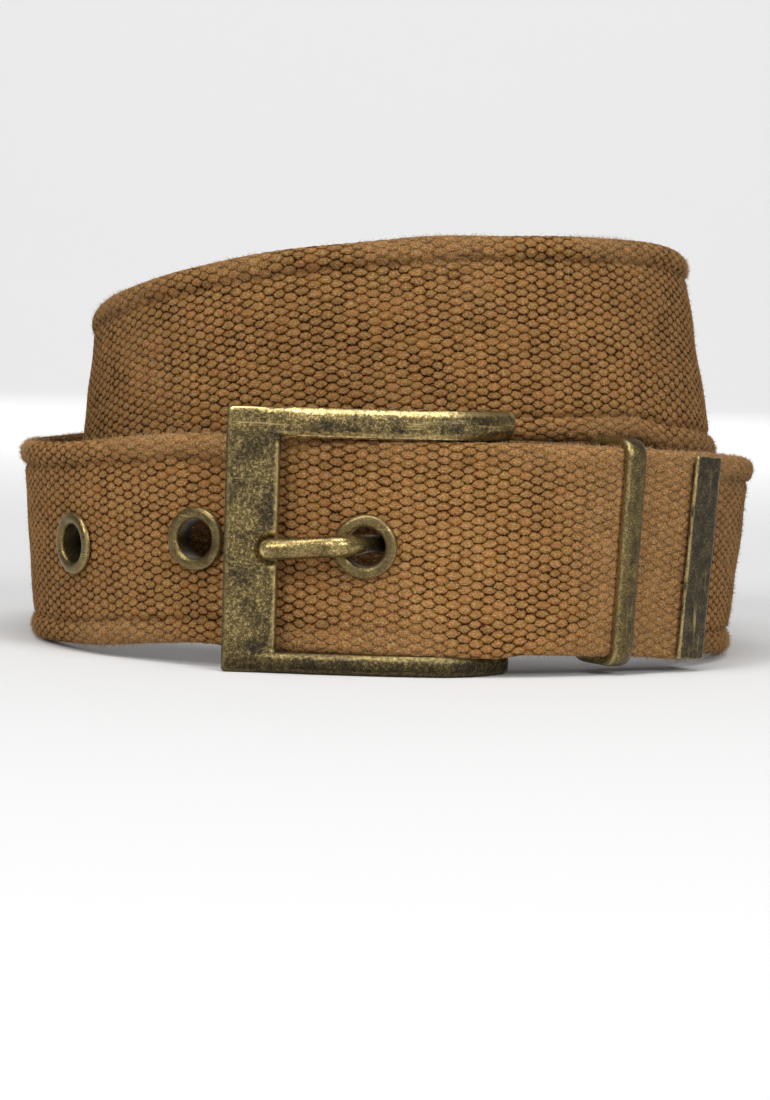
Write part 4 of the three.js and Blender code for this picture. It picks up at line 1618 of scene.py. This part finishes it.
def cut(mesh: bpy.types.Mesh, tool: bpy.types.Mesh) -> bpy.types.Mesh:
    """A mesh with another taken out of it.

    Args:
        mesh: the mesh to cut.
        tool: the closed mesh to take out.

    Returns:
        The cut mesh.
    """
    body = bpy.data.objects.new("body", mesh)
    cutter = bpy.data.objects.new("cutter", tool)
    for thing in (body, cutter):
        bpy.context.scene.collection.objects.link(thing)
    boolean = body.modifiers.new("cut", "BOOLEAN")
    boolean.object = cutter
    boolean.operation = "DIFFERENCE"
    boolean.solver = "EXACT"
    apply_modifiers(body)
    result = body.data
    bpy.data.objects.remove(body)
    bpy.data.objects.remove(cutter)
    return result


def smooth_curve(points: np.ndarray, count: int) -> np.ndarray:
    """Evenly spaced points on a centripetal spline through some points.

    Args:
        points: the points that it goes through.
        count: how many points to return.

    Returns:
        The spline's points.
    """
    first = 2 * points[0] - points[1]
    last = 2 * points[-1] - points[-2]
    knots = np.vstack([first, points, last])
    dense = []
    for k in range(1, len(knots) - 2):
        p = knots[k - 1:k + 3]
        gaps = np.maximum(np.linalg.norm(np.diff(p, axis=0), axis=1), 1e-6) ** 0.5
        t0, t1, t2, t3 = np.concatenate([[0.0], np.cumsum(gaps)])
        t = np.linspace(t1, t2, 40, endpoint=False)[:, None]
        a1 = (t1 - t) / (t1 - t0) * p[0] + (t - t0) / (t1 - t0) * p[1]
        a2 = (t2 - t) / (t2 - t1) * p[1] + (t - t1) / (t2 - t1) * p[2]
        a3 = (t3 - t) / (t3 - t2) * p[2] + (t - t2) / (t3 - t2) * p[3]
        b1 = (t2 - t) / (t2 - t0) * a1 + (t - t0) / (t2 - t0) * a2
        b2 = (t3 - t) / (t3 - t1) * a2 + (t - t1) / (t3 - t1) * a3
        dense.append((t2 - t) / (t2 - t1) * b1 + (t - t1) / (t2 - t1) * b2)
    line = np.vstack([*dense, points[-1:]])
    steps = np.linalg.norm(np.diff(line, axis=0), axis=1)
    far = np.concatenate([[0.0], np.cumsum(steps)])
    even = np.linspace(0, far[-1], count)
    return np.column_stack([np.interp(even, far, line[:, k]) for k in range(line.shape[1])])


def rod(line: np.ndarray, radii: np.ndarray, sides: int) -> bpy.types.Mesh:
    """Round rod along a line of points.

    Args:
        line: the points, in millimetres.
        radii: the rod's radius at each of them.
        sides: how many sides it has.

    Returns:
        The rod, with its faces outwards.
    """
    forward = unit(np.gradient(line, axis=0))
    upward = np.array([0.0, 0.0, 1.0])
    if abs(forward[:, 2]).max() > 0.9:
        upward = np.array([0.3, 0.9, 0.1])
    side = unit(np.cross(forward, upward))
    up = np.cross(side, forward)
    angle = np.arange(sides) * 2 * math.pi / sides
    rings = line[:, None, :] + radii[:, None, None] * (
        side[:, None, :] * np.cos(angle)[None, :, None] + up[:, None, :] * np.sin(angle)[None, :, None]
    )
    return sweep(rings)


def capsule(start: np.ndarray, end: np.ndarray, radius: float, sides: int) -> bpy.types.Mesh:
    """Round rod with a ball for its first end.

    Args:
        start: the ball's centre, in millimetres.
        end: the middle of the rod's flat end.
        radius: the radius of both.
        sides: how many sides it has.

    Returns:
        The rod, with its faces outwards.
    """
    forward = unit(end - start)
    bends = np.linspace(0.02, math.pi / 2, 14)
    ball = [start - forward * radius * math.cos(b) for b in bends]
    radii = [radius * math.sin(b) for b in bends]
    return rod(np.array([*ball, end]), np.array([*radii, radius]), sides)


def lathe(profile: np.ndarray, sides: int) -> bpy.types.Mesh:
    """Ring turned about the x axis.

    Args:
        profile: closed outline of radius and height, in millimetres.
        sides: how many sides the ring has.

    Returns:
        The ring, with its faces outwards.
    """
    angle = np.arange(sides) * 2 * math.pi / sides
    radius = profile[None, :, 0] * np.ones((sides, 1))
    rings = np.stack([
        np.broadcast_to(profile[None, :, 1], radius.shape),
        radius * np.cos(angle)[:, None],
        radius * np.sin(angle)[:, None],
    ], axis=-1)
    return sweep(rings, closed=True)


@dataclass
class Buckle:
    """Square buckle: front bar with a notch, two bowed side bars, heel bar, and the prong."""

    path: StrapPath
    front_bar_width: float = 9.7
    front_bar_depth: float = 3.7
    front_bar_left: float = -28.6
    side_bar_depth: float = 4.0
    side_bar_bow: float = 2.1
    corner: float = 1.1
    edge: float = 0.6
    lower_round: float = 1.2
    upper_round: float = 1.5
    upper_crown: float = 1.4
    lower_crown: float = 0.5
    crown_ease: float = 5.0
    heel_end_radius: float = 3.0
    notch_depth: float = 1.0
    notch_height: float = 6.0
    prong_diameter: float = 4.0
    prong_neck: float = 3.2
    prong_loop_wall: float = 1.4
    prong_tip_reach: float = 3.3
    prong_tip_drop: float = 1.0
    prong_rise: float = 0.45
    prong_slant: float = 56.0
    prong_dip: float = 2.4
    prong_edge_reach: float = 1.0
    prong_edge_return: float = 1.4
    prong_run_in: float = 4.0
    prong_run_in_back: float = 1.6
    prong_loop_back: float = 0.4
    prong_places: tuple[float, ...] = (0, 0.008, 0.02, 0.04, 0.06, 0.39, 0.47, 0.66, 0.8, 1)
    prong_rounding: tuple[float, ...] = (0.3, 0.6, 0.82, 0.96, 1, 1)
    prong_heel_taper: tuple[float, ...] = (0.85, 0.8)
    bore_half: float = 4.0
    eyelet_crown: float = 0.35
    voxel: float = 0.33
    prong_voxel: float = 0.26

    @property
    def bar_left(self) -> float:
        """The front bar's left face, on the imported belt."""
        return self.front_bar_left + self.path.shift[0]

    @property
    def bar_back(self) -> float:
        """The front bar's back face, just clear of the strap behind it."""
        sizes = self.path.sizes
        right = self.front_bar_left + self.front_bar_width
        face = math.sqrt((sizes.coil_radius + sizes.strap_thickness / 2) ** 2 - right ** 2)
        return -face - sizes.seat_gap - sizes.rim_proud / 2 + self.path.shift[1]

    @property
    def tip_x(self) -> float:
        """Where the prong's tip ends, over the front bar."""
        return self.bar_left + self.front_bar_width - self.prong_tip_reach

    @property
    def bar_face(self) -> float:
        """The front bar's front face."""
        return self.bar_back - self.front_bar_depth

    def _side_outline(self) -> list[tuple[float, float]]:
        """Plan outline of a side bar, growing to a round end about the heel bar."""
        heel = self.path.heel
        left = self.bar_left + self.front_bar_width / 2
        length = heel[0] - left
        start = self.bar_face + self.side_bar_depth / 2
        points = np.array([
            [left, start],
            [left + 0.27 * length, start - 0.8 * self.side_bar_bow],
            [left + 0.58 * length, start - self.side_bar_bow],
            [left + 0.82 * length, start - 0.3 * self.side_bar_bow],
            [heel[0] - 0.7 * self.heel_end_radius, heel[1] - 1.1 * self.heel_end_radius],
            heel,
        ])
        line = smooth_curve(points, 40)
        forward = unit(np.gradient(line, axis=0))
        across = np.column_stack([forward[:, 1], -forward[:, 0]])
        share = np.linspace(0, 1, len(line))[:, None]
        narrow = self.side_bar_depth / 2
        half = narrow + (self.heel_end_radius - narrow) * share ** 4
        end = math.atan2(forward[-1, 1], forward[-1, 0])
        angles = end - math.pi / 2 + math.pi * np.linspace(0, 1, 17)[1:-1]
        cap = heel + self.heel_end_radius * np.column_stack([np.cos(angles), np.sin(angles)])
        return [*map(tuple, np.vstack([line + across * half, cap, (line - across * half)[::-1]]))]

    def _bevelled(self, mesh: bpy.types.Mesh, width: float) -> bpy.types.Mesh:
        """Rounds a mesh's sharp edges.

        Args:
            mesh: the mesh.
            width: the rounding's width, in millimetres.

        Returns:
            The rounded mesh.
        """
        thing = bpy.data.objects.new("bar", mesh)
        bpy.context.scene.collection.objects.link(thing)
        bevel = thing.modifiers.new("round", "BEVEL")
        bevel.width = width * MM
        bevel.segments = 4
        bevel.angle_limit = math.radians(40)
        apply_modifiers(thing)
        result = thing.data
        bpy.data.objects.remove(thing)
        return result

    def frame(self, material: bpy.types.Material) -> bpy.types.Object:
        """Builds the buckle's frame.

        Args:
            material: its brass.

        Returns:
            The frame.
        """
        sizes = self.path.sizes
        heel = self.path.heel
        height = sizes.frame_height
        outline = self._side_outline()
        lower = self._bevelled(extruded(outline, 0, sizes.lower_bar_height), self.lower_round)
        upper = self._bevelled(extruded(outline, height - sizes.upper_bar_height, height), self.upper_round)
        middle = np.array([self.bar_left + self.front_bar_width / 2, (self.bar_back + self.bar_face) / 2])
        bar = np.array(rounded_outline(self.front_bar_width, self.front_bar_depth, self.corner, 5)) + middle
        front = self._bevelled(extruded([*map(tuple, bar)], 0, height), self.edge)
        radius = ((self.notch_height / 2) ** 2 + self.notch_depth ** 2) / 2 / self.notch_depth
        away = self.bar_face + self.notch_depth - radius
        level = sizes.strap_middle - self.prong_tip_drop
        start = np.array([self.tip_x + self.prong_diameter / 2, away, level])
        front = cut(front, capsule(start, start + [self.front_bar_width, 0, 0], radius, 64))
        lower_middle = sizes.lower_bar_height / 2
        upper_middle = height - sizes.upper_bar_height / 2
        heel_line = np.array([[*heel, lower_middle], [*heel, upper_middle]])
        heel_bar = rod(heel_line, np.full(2, sizes.heel_bar / 2), sides=32)
        piece = new_piece("buckle_frame_cast", joined([front, lower, upper, heel_bar]), material)
        cast(piece, self.voxel, passes=3)
        upward, rightward = np.array([0.0, 0.0, 1.0]), np.array([1.0, 0.0, 0.0])
        # Painted shade: darker towards the frame's bottom and along the front bar's left edge.
        store_painted_shade(piece, np.zeros(3), upward, top=7.0, bottom=0.3, most=0.85)
        store_painted_shade(piece, rightward * self.bar_left, rightward, top=0.95, bottom=0.45, most=0.7)
        self._crown(piece, upper_middle, sizes.upper_bar_height / 2, self.upper_crown)
        self._crown(piece, lower_middle, sizes.lower_bar_height / 2, self.lower_crown)
        return piece

    def _crown(self, piece: bpy.types.Object, middle: float, half: float, crown: float) -> None:
        """Rounds the front face of a side bar, right of the front bar.

        Args:
            piece: the frame.
            middle: the height of the bar's middle, in mm.
            half: half the bar's height.
            crown: how far back the face falls at the bar's edges.
        """
        mesh = piece.data
        places = np.zeros(len(mesh.vertices) * 3, np.float32)
        normals = np.zeros(len(mesh.vertices) * 3, np.float32)
        mesh.vertices.foreach_get("co", places)
        mesh.vertex_normals.foreach_get("vector", normals)
        places = places.reshape(-1, 3)
        facing = np.clip(-normals.reshape(-1, 3)[:, 1], 0, 1)
        share = np.clip((places[:, 2] / MM - middle) / half, -1, 1)
        near = np.abs(places[:, 2] / MM - middle) < half + 0.3
        start = self.bar_left + self.front_bar_width
        right = np.clip((places[:, 0] / MM - start + 1) / self.crown_ease, 0, 1)
        places[:, 1] += crown * MM * share ** 2 * facing * right * near
        mesh.vertices.foreach_set("co", places.ravel())
        mesh.update()

    def _prong_points(self) -> np.ndarray:
        """Places on the prong's middle line, from its tip to its loop."""
        sizes = self.path.sizes
        used = self.path.axes_at(sizes.used_turn)
        heel = self.path.heel
        clear = sizes.seat_gap
        radius = self.prong_diameter / 2
        top = sizes.strap_thickness / 2 + clear + sizes.eyelet_wall + self.eyelet_crown
        bottom = sizes.strap_thickness / 2 + (clear + sizes.flange_lift) + sizes.eyelet_wall
        dip = self.prong_dip
        run = dip / math.tan(math.radians(self.prong_slant))
        flange = sizes.eyelet_flange / 2
        over = top + radius + clear
        tip_x = self.tip_x
        tip_y = self.bar_face + self.notch_depth - radius - clear
        level_y = used.point(over, 0, 0)[1]
        places = [
            np.array([tip_x, tip_y, 0]),
            np.array([tip_x + self.front_bar_width * 0.6, (tip_y + level_y) / 2, 0]),
            used.point(over, 0, -flange - self.prong_edge_reach),
            used.point(over, 0, -flange + self.prong_edge_return),
            used.point(dip, 0, -run),
            used.point(0, 0, 0),
            used.point(-dip, 0, run),
            used.point(-bottom - self.prong_neck / 2 - clear, 0, flange - self.prong_edge_return),
            np.array([heel[0] - sizes.fold_radius - self.prong_run_in, heel[1] - self.prong_run_in_back, 0]),
            np.array([
                heel[0] - sizes.heel_bar / 2 - self.prong_loop_wall, heel[1] + self.prong_loop_back, 0,
            ]),
        ]
        stops = [tip_x, used.centre[0], heel[0]]
        rises = np.interp([p[0] for p in places], stops, [-self.prong_tip_drop, self.prong_rise, 0])
        return np.array([[p[0], p[1], sizes.strap_middle + rise] for p, rise in zip(places, rises)])

    def prong(self, material: bpy.types.Material) -> bpy.types.Object:
        """Builds the prong with its loop.

        Args:
            material: its brass.

        Returns:
            The prong.
        """
        sizes = self.path.sizes
        heel = self.path.heel
        line = smooth_curve(self._prong_points(), 90)
        share = np.linspace(0, 1, len(line))
        neck = self.prong_neck / self.prong_diameter
        thick = [*self.prong_rounding, neck, neck, *self.prong_heel_taper]
        radii = np.interp(share, self.prong_places, thick) * self.prong_diameter / 2
        arm = rod(line, radii, 28)
        inner = sizes.heel_bar / 2 + sizes.seat_gap
        outer = inner + self.prong_loop_wall
        half = self.prong_diameter / 2
        profile = np.array([[inner, -half], [outer, -half], [outer, half], [inner, half]])
        loop = lathe(profile, 48)
        loop.transform(Matrix.Rotation(-math.pi / 2, 4, "Y"))
        loop.transform(Matrix.Translation(Vector((*heel, sizes.strap_middle)) * MM))
        ends = (sizes.strap_middle - self.bore_half, sizes.strap_middle + self.bore_half)
        arm = cut(arm, rod(np.array([[*heel, z] for z in ends]), np.full(2, inner), sides=48))
        piece = new_piece("buckle_prong_cast", joined([arm, loop]), material)
        cast(piece, self.prong_voxel, passes=4)
        axes = self.path.axes_at(sizes.used_turn)
        # Painted shade where the prong sinks through the eyelet below the strap's face.
        store_painted_shade(piece, axes.centre, axes.out, top=1.2, bottom=-2.0)
        return piece


@dataclass
class EyeletRow:
    """The eyelets: a round rim on a barrel through the strap, with a flat flange behind it."""

    path: StrapPath
    hole: float = 7.2
    crown: float = 0.95
    rim_drop: float = 0.45
    rim_square: float = 0.8
    fold: float = 0.2
    sides: int = 80

    def _profile(self) -> np.ndarray:
        """Closed profile of radius and height."""
        sizes = self.path.sizes
        outer = sizes.strap_thickness / 2 + sizes.seat_gap
        inner = outer + sizes.flange_lift
        wall = sizes.eyelet_wall
        hole = self.hole / 2
        edge = sizes.eyelet_flange / 2
        barrel = hole + wall
        top = outer + wall
        middle = (edge + hole) / 2
        ring = (edge - hole) / 2
        rim = [
            (middle + ring * math.cos(a), top - self.rim_drop + self.crown * math.sin(a) ** self.rim_square)
            for a in np.linspace(math.pi, 0, 21)
        ]
        under = [(edge, outer + 0.6 * self.fold), (edge - 0.75 * self.fold, outer), (barrel, outer)]
        flange = [(barrel, -inner), (edge - self.fold, -inner), (edge, -inner - self.fold)]
        back = [(edge - self.fold, -inner - wall * 0.8), (barrel + 1.5 * self.fold, -inner - wall)]
        back += [(barrel - 0.75 * self.fold, -inner - wall * 0.95)]
        back += [(hole + 0.5 * self.fold, -inner - wall * 0.5)]
        return np.array([*rim, *under, *flange, *back, (hole, -inner)])

    def build(self, material: bpy.types.Material) -> list[bpy.types.Object]:
        """Builds the eyelets.

        Args:
            material: their brass.

        Returns:
            The eyelets, from the used one back along the strap.
        """
        pieces = []
        for number, turn in enumerate(self.path.sizes.eyelet_turns):
            axes = self.path.axes_at(turn)
            mesh = lathe(self._profile(), self.sides)
            mesh.transform(axes.matrix())
            piece = new_piece(f"eyelet_ring_{number + 1}", mesh, material)
            store_wear(piece, full_bend=2.6, spread=1)
            # Painted shade down the barrel and under the rim.
            store_painted_shade(piece, axes.centre, axes.out, top=1.75, bottom=0.7)
            pieces.append(piece)
        return pieces


@dataclass
class KeeperLoop:
    """Metal band bent round the strap's three layers."""

    path: StrapPath
    turn: float = 37.0
    width: float = 4.4
    wall: float = 1.2
    corner: float = 3.0
    slack: float = 0.4
    crown: float = 0.32
    corner_wall_share: float = 0.9
    corner_steps: int = 10
    side_parts: int = 14
    section: tuple[tuple[float, float], ...] = (
        (-1, 0.25), (-0.97, 0.75), (-0.86, 0.96), (-0.5, 1), (0, 1), (0.5, 1), (0.86, 0.96), (0.97, 0.75),
        (1, 0.25), (0.96, 0.03), (0.5, 0), (-0.5, 0), (-0.96, 0.03),
    )

    def build(self, material: bpy.types.Material) -> bpy.types.Object:
        """Builds the keeper.

        Args:
            material: its brass.

        Returns:
            The keeper.
        """
        sizes = self.path.sizes
        depth = 2 * sizes.layer_pitch + sizes.strap_thickness + 2 * self.slack
        height = sizes.strap_width + 2 * self.slack
        outer = self._outline(depth + 2 * self.wall, height + 2 * self.wall, self.corner)
        inner = self._outline(depth, height, self.corner - self.wall * self.corner_wall_share)
        half = self.width / 2
        rings = []
        for o, i in zip(outer, inner):
            ring = []
            for z, share in self.section:
                lift = self.crown * (1 - z * z) if share > 0.9 else 0.0
                flat = i + (o - i) * (share + lift / self.wall)
                ring.append([flat[0], flat[1], z * half])
            rings.append(ring)
        mesh = sweep(np.array(rings), closed=True)
        mesh.transform(self.path.axes_at(self.turn).matrix())
        piece = new_piece("keeper_band", mesh, material)
        store_wear(piece, full_bend=1.6, spread=1)
        return piece

    def _outline(self, width: float, height: float, radius: float) -> np.ndarray:
        """Rounded outline with its straight sides divided.

        Args:
            width: its width, in millimetres.
            height: its height.
            radius: its corners' radius.

        Returns:
            The outline's points, as many for every size.
        """
        ring = np.array(rounded_outline(width, height, radius, self.corner_steps))
        points = []
        for k, (a, b) in enumerate(zip(ring, np.roll(ring, -1, axis=0))):
            parts = self.side_parts if (k + 1) % (self.corner_steps + 1) == 0 else 1
            points += [a + (b - a) * m / parts for m in range(parts)]
        return np.array(points)


@dataclass
class TipCap:
    """Folded metal channel over the strap's tip, with a lip turned out along its outer mouth."""

    path: StrapPath
    width: float = 7.8
    wall: float = 0.85
    height: float = 37.6
    slack: float = 0.5
    bend: float = 1.1
    lip: float = 0.28
    lip_height: float = 0.5
    voxel: float = 0.3

    def build(self, material: bpy.types.Material) -> bpy.types.Object:
        """Builds the cap.

        Args:
            material: its brass.

        Returns:
            The cap.
        """
        sizes = self.path.sizes
        tip = OUTER_RUN[-1].turn
        turn = tip - math.degrees(self.width / 2 / sizes.coil_radius)
        axes = self.path.axes_at(turn)
        end = self.path.axes_at(tip).centre
        reach = float(np.linalg.norm((end - axes.centre)[:2]))
        half = sizes.strap_thickness / 2 + self.slack + self.wall
        web_in = -reach - sizes.seat_gap - self.slack / 2
        web_out = web_in - self.wall
        mouth = web_out + self.width
        bends = np.linspace(0, math.pi / 2, 7)
        b = self.bend
        left = [(-half + b - b * math.cos(a), web_out + b - b * math.sin(a)) for a in bends]
        right = [(half - b + b * math.sin(a), web_out + b - b * math.cos(a)) for a in bends]
        inside = half - self.wall
        root = mouth - self.lip_height
        lip = [(half, root), (half + self.lip * 0.6, mouth), (inside + self.lip, mouth + self.lip)]
        slot = [(inside, root), (inside, web_in), (-inside, web_in), (-inside, mouth)]
        outline = [(-half, mouth), *left, *right, *lip, *slot]
        mesh = extruded(outline, -self.height / 2, self.height / 2)
        mesh.transform(Matrix.Rotation(math.pi / 2, 4, "X"))
        mesh.transform(axes.matrix())
        piece = new_piece("tip_cap_sheet", mesh, material)
        cast(piece, self.voxel, passes=2)
        return piece


@dataclass(frozen=True)
class SoftLight:
    """One area light and the place it looks at."""

    name: str
    place: tuple[float, float, float]
    size: tuple[float, float]
    energy: float
    aim: tuple[float, float, float] = (0.0, 0.0, 0.03)
    tint: Colour = (1.0, 1.0, 1.0)


@dataclass
class Studio:
    """Pale floor that turns up into a cove, soft lights and the camera."""

    lights: tuple[SoftLight, ...] = (
        SoftLight("key_light", (-0.75, -1.1, 1.0), (0.6, 0.6), 11.0),
        SoftLight("top_light", (0.0, -0.3, 1.15), (0.9, 0.5), 8.5),
        SoftLight("front_light", (0.1, -1.6, 0.45), (1.4, 0.5), 2.2),
        SoftLight("side_light", (0.80, -1.15, 0.80), (0.42, 0.42), 9.5),
        SoftLight("back_light", (0.3, 1.6, 1.2), (1.0, 0.7), 1.2),
        SoftLight("cove_light", (0.0, 0.95, 1.3), (2.2, 0.4), 36.0, (0.0, 2.6, 0.15)),
    )
    world_tint: Colour = (1.0, 1.0, 1.0)
    world_strength: float = 0.2
    floor_radius: float = 2.0
    cove_radius: float = 1.0
    floor_sides: int = 96
    aim: tuple[float, float, float] = (0.00006, -0.07376, 0.0225)
    distance: float = 0.65
    elevation: float = 3.7
    roll: float = 1.55
    lens: float = 119.1

    def floor(self, material: bpy.types.Material) -> bpy.types.Object:
        """Builds the floor and its cove.

        Args:
            material: the floor's finish.

        Returns:
            The floor.
        """
        flat = [(r * self.floor_radius, 0.0) for r in (0.02, 0.1, 0.25, 0.5, 0.75, 1.0)]
        bends = np.radians(np.linspace(0, 75, 16)[1:])
        cove = [
            (self.floor_radius + self.cove_radius * math.sin(b), self.cove_radius * (1 - math.cos(b)))
            for b in bends
        ]
        sides = self.floor_sides
        angle = np.arange(sides) * 2 * math.pi / sides
        circle = np.column_stack([np.cos(angle), np.sin(angle)])
        rows = [np.column_stack([r * circle, np.full(sides, z)]) for r, z in [*flat, *cove]]
        points = np.concatenate(rows) / MM
        i = np.arange(len(rows) - 1)[:, None] * sides
        j = np.arange(sides)[None, :]
        following = (j + 1) % sides
        quads = np.stack([i + j, i + sides + j, i + sides + following, i + following], -1).reshape(-1, 4)
        mesh = mesh_from(points, quads, None, [list(range(sides))])
        return new_piece("studio_floor", mesh, material)

    def light(self) -> None:
        """Adds the lights and the world."""
        scene = bpy.context.scene
        world = bpy.data.worlds.new("studio_world")
        scene.world = world
        world.use_nodes = True
        ground = world.node_tree.nodes["Background"]
        ground.inputs["Color"].default_value = (*self.world_tint, 1.0)
        ground.inputs["Strength"].default_value = self.world_strength
        for soft in self.lights:
            lamp = bpy.data.lights.new(soft.name, "AREA")
            lamp.shape = "RECTANGLE"
            lamp.size, lamp.size_y = soft.size
            lamp.energy = soft.energy
            lamp.color = soft.tint
            thing = bpy.data.objects.new(soft.name, lamp)
            thing.location = soft.place
            toward = Vector(soft.aim) - Vector(soft.place)
            thing.rotation_euler = toward.to_track_quat("-Z", "Y").to_euler()
            scene.collection.objects.link(thing)

    def camera(self) -> None:
        """Adds the camera at the photograph's angle."""
        scene = bpy.context.scene
        lens = bpy.data.cameras.new("photo_camera")
        lens.lens = self.lens
        lens.sensor_width = 36.0
        lens.sensor_height = 36.0
        lens.sensor_fit = "VERTICAL"
        lens.clip_start = 0.01
        lens.clip_end = 20.0
        thing = bpy.data.objects.new("photo_camera", lens)
        tilt = math.radians(self.elevation)
        aim = Vector(self.aim)
        thing.location = aim + Vector((0.0, -math.cos(tilt), math.sin(tilt))) * self.distance
        turn = (aim - thing.location).to_track_quat("-Z", "Y")
        spin = Matrix.Rotation(math.radians(self.roll), 4, "Z")
        thing.matrix_world = Matrix.Translation(thing.location) @ turn.to_matrix().to_4x4() @ spin
        scene.collection.objects.link(thing)
        scene.camera = thing
        scene.view_settings.view_transform = "Standard"


@dataclass
class Belt:
    """The whole belt: the strap and its metal pieces."""

    path: StrapPath = field(default_factory=StrapPath)

    def build(self) -> None:
        """Builds every piece and puts it in place of its CAD node."""
        canvas = CanvasFinish().build()
        fibres = FibreFinish().build()
        buckle = AntiqueBrassFinish("antique_brass_buckle", Grain.LEVEL)
        prong = AntiqueBrassFinish("antique_brass_prong", Grain.LEVEL, patina=0.43, mottle_scale=2200.0)
        eyelet = AntiqueBrassFinish("antique_brass_eyelet", Grain.LEVEL, patina=0.45, mottle_scale=3200.0,
                                    edge_gain=1.6, contrast=0.6)
        keeper = AntiqueBrassFinish("antique_brass_keeper", Grain.UPRIGHT, mottle_scale=3000.0,
                                    edge_gain=1.2, contrast=0.6)
        cap = AntiqueBrassFinish("antique_brass_cap", Grain.UPRIGHT, patina=0.68, mottle_scale=3600.0,
                                 edge_gain=0.6, contrast=0.5)
        layer = FibreLayer()
        for number, piece in enumerate(WebbingStrap(self.path).build(canvas), start=1):
            self._stands_for(piece, "webbing_strap")
            self._stands_for(layer.build(piece, number, fibres), "webbing_strap")
        buckles = Buckle(self.path)
        self._stands_for(buckles.frame(buckle.build()), "buckle_frame")
        self._stands_for(buckles.prong(prong.build()), "buckle_prong")
        for number, piece in enumerate(EyeletRow(self.path).build(eyelet.build()), start=1):
            self._stands_for(piece, f"eyelet_{number}")
        self._stands_for(KeeperLoop(self.path).build(keeper.build()), "keeper_loop")
        self._stands_for(TipCap(self.path).build(cap.build()), "tip_cap")

    def _stands_for(self, piece: bpy.types.Object, node: str) -> None:
        """Puts a piece on the root body.

        Args:
            piece: the piece.
            node: the CAD node that it takes the place of.
        """
        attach(piece, "root")
        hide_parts(node)
        faces = sum(p.loop_total - 2 for p in piece.data.polygons)
        log.info("%s: %d triangles", piece.name, faces)


def main() -> None:
    """Builds the belt and its studio."""
    logging.basicConfig(level=logging.INFO, format="%(name)s: %(message)s")
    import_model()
    Belt().build()
    studio = Studio()
    studio.floor(FloorFinish().build())
    studio.light()
    studio.camera()


if __name__ == "__main__":
    main()
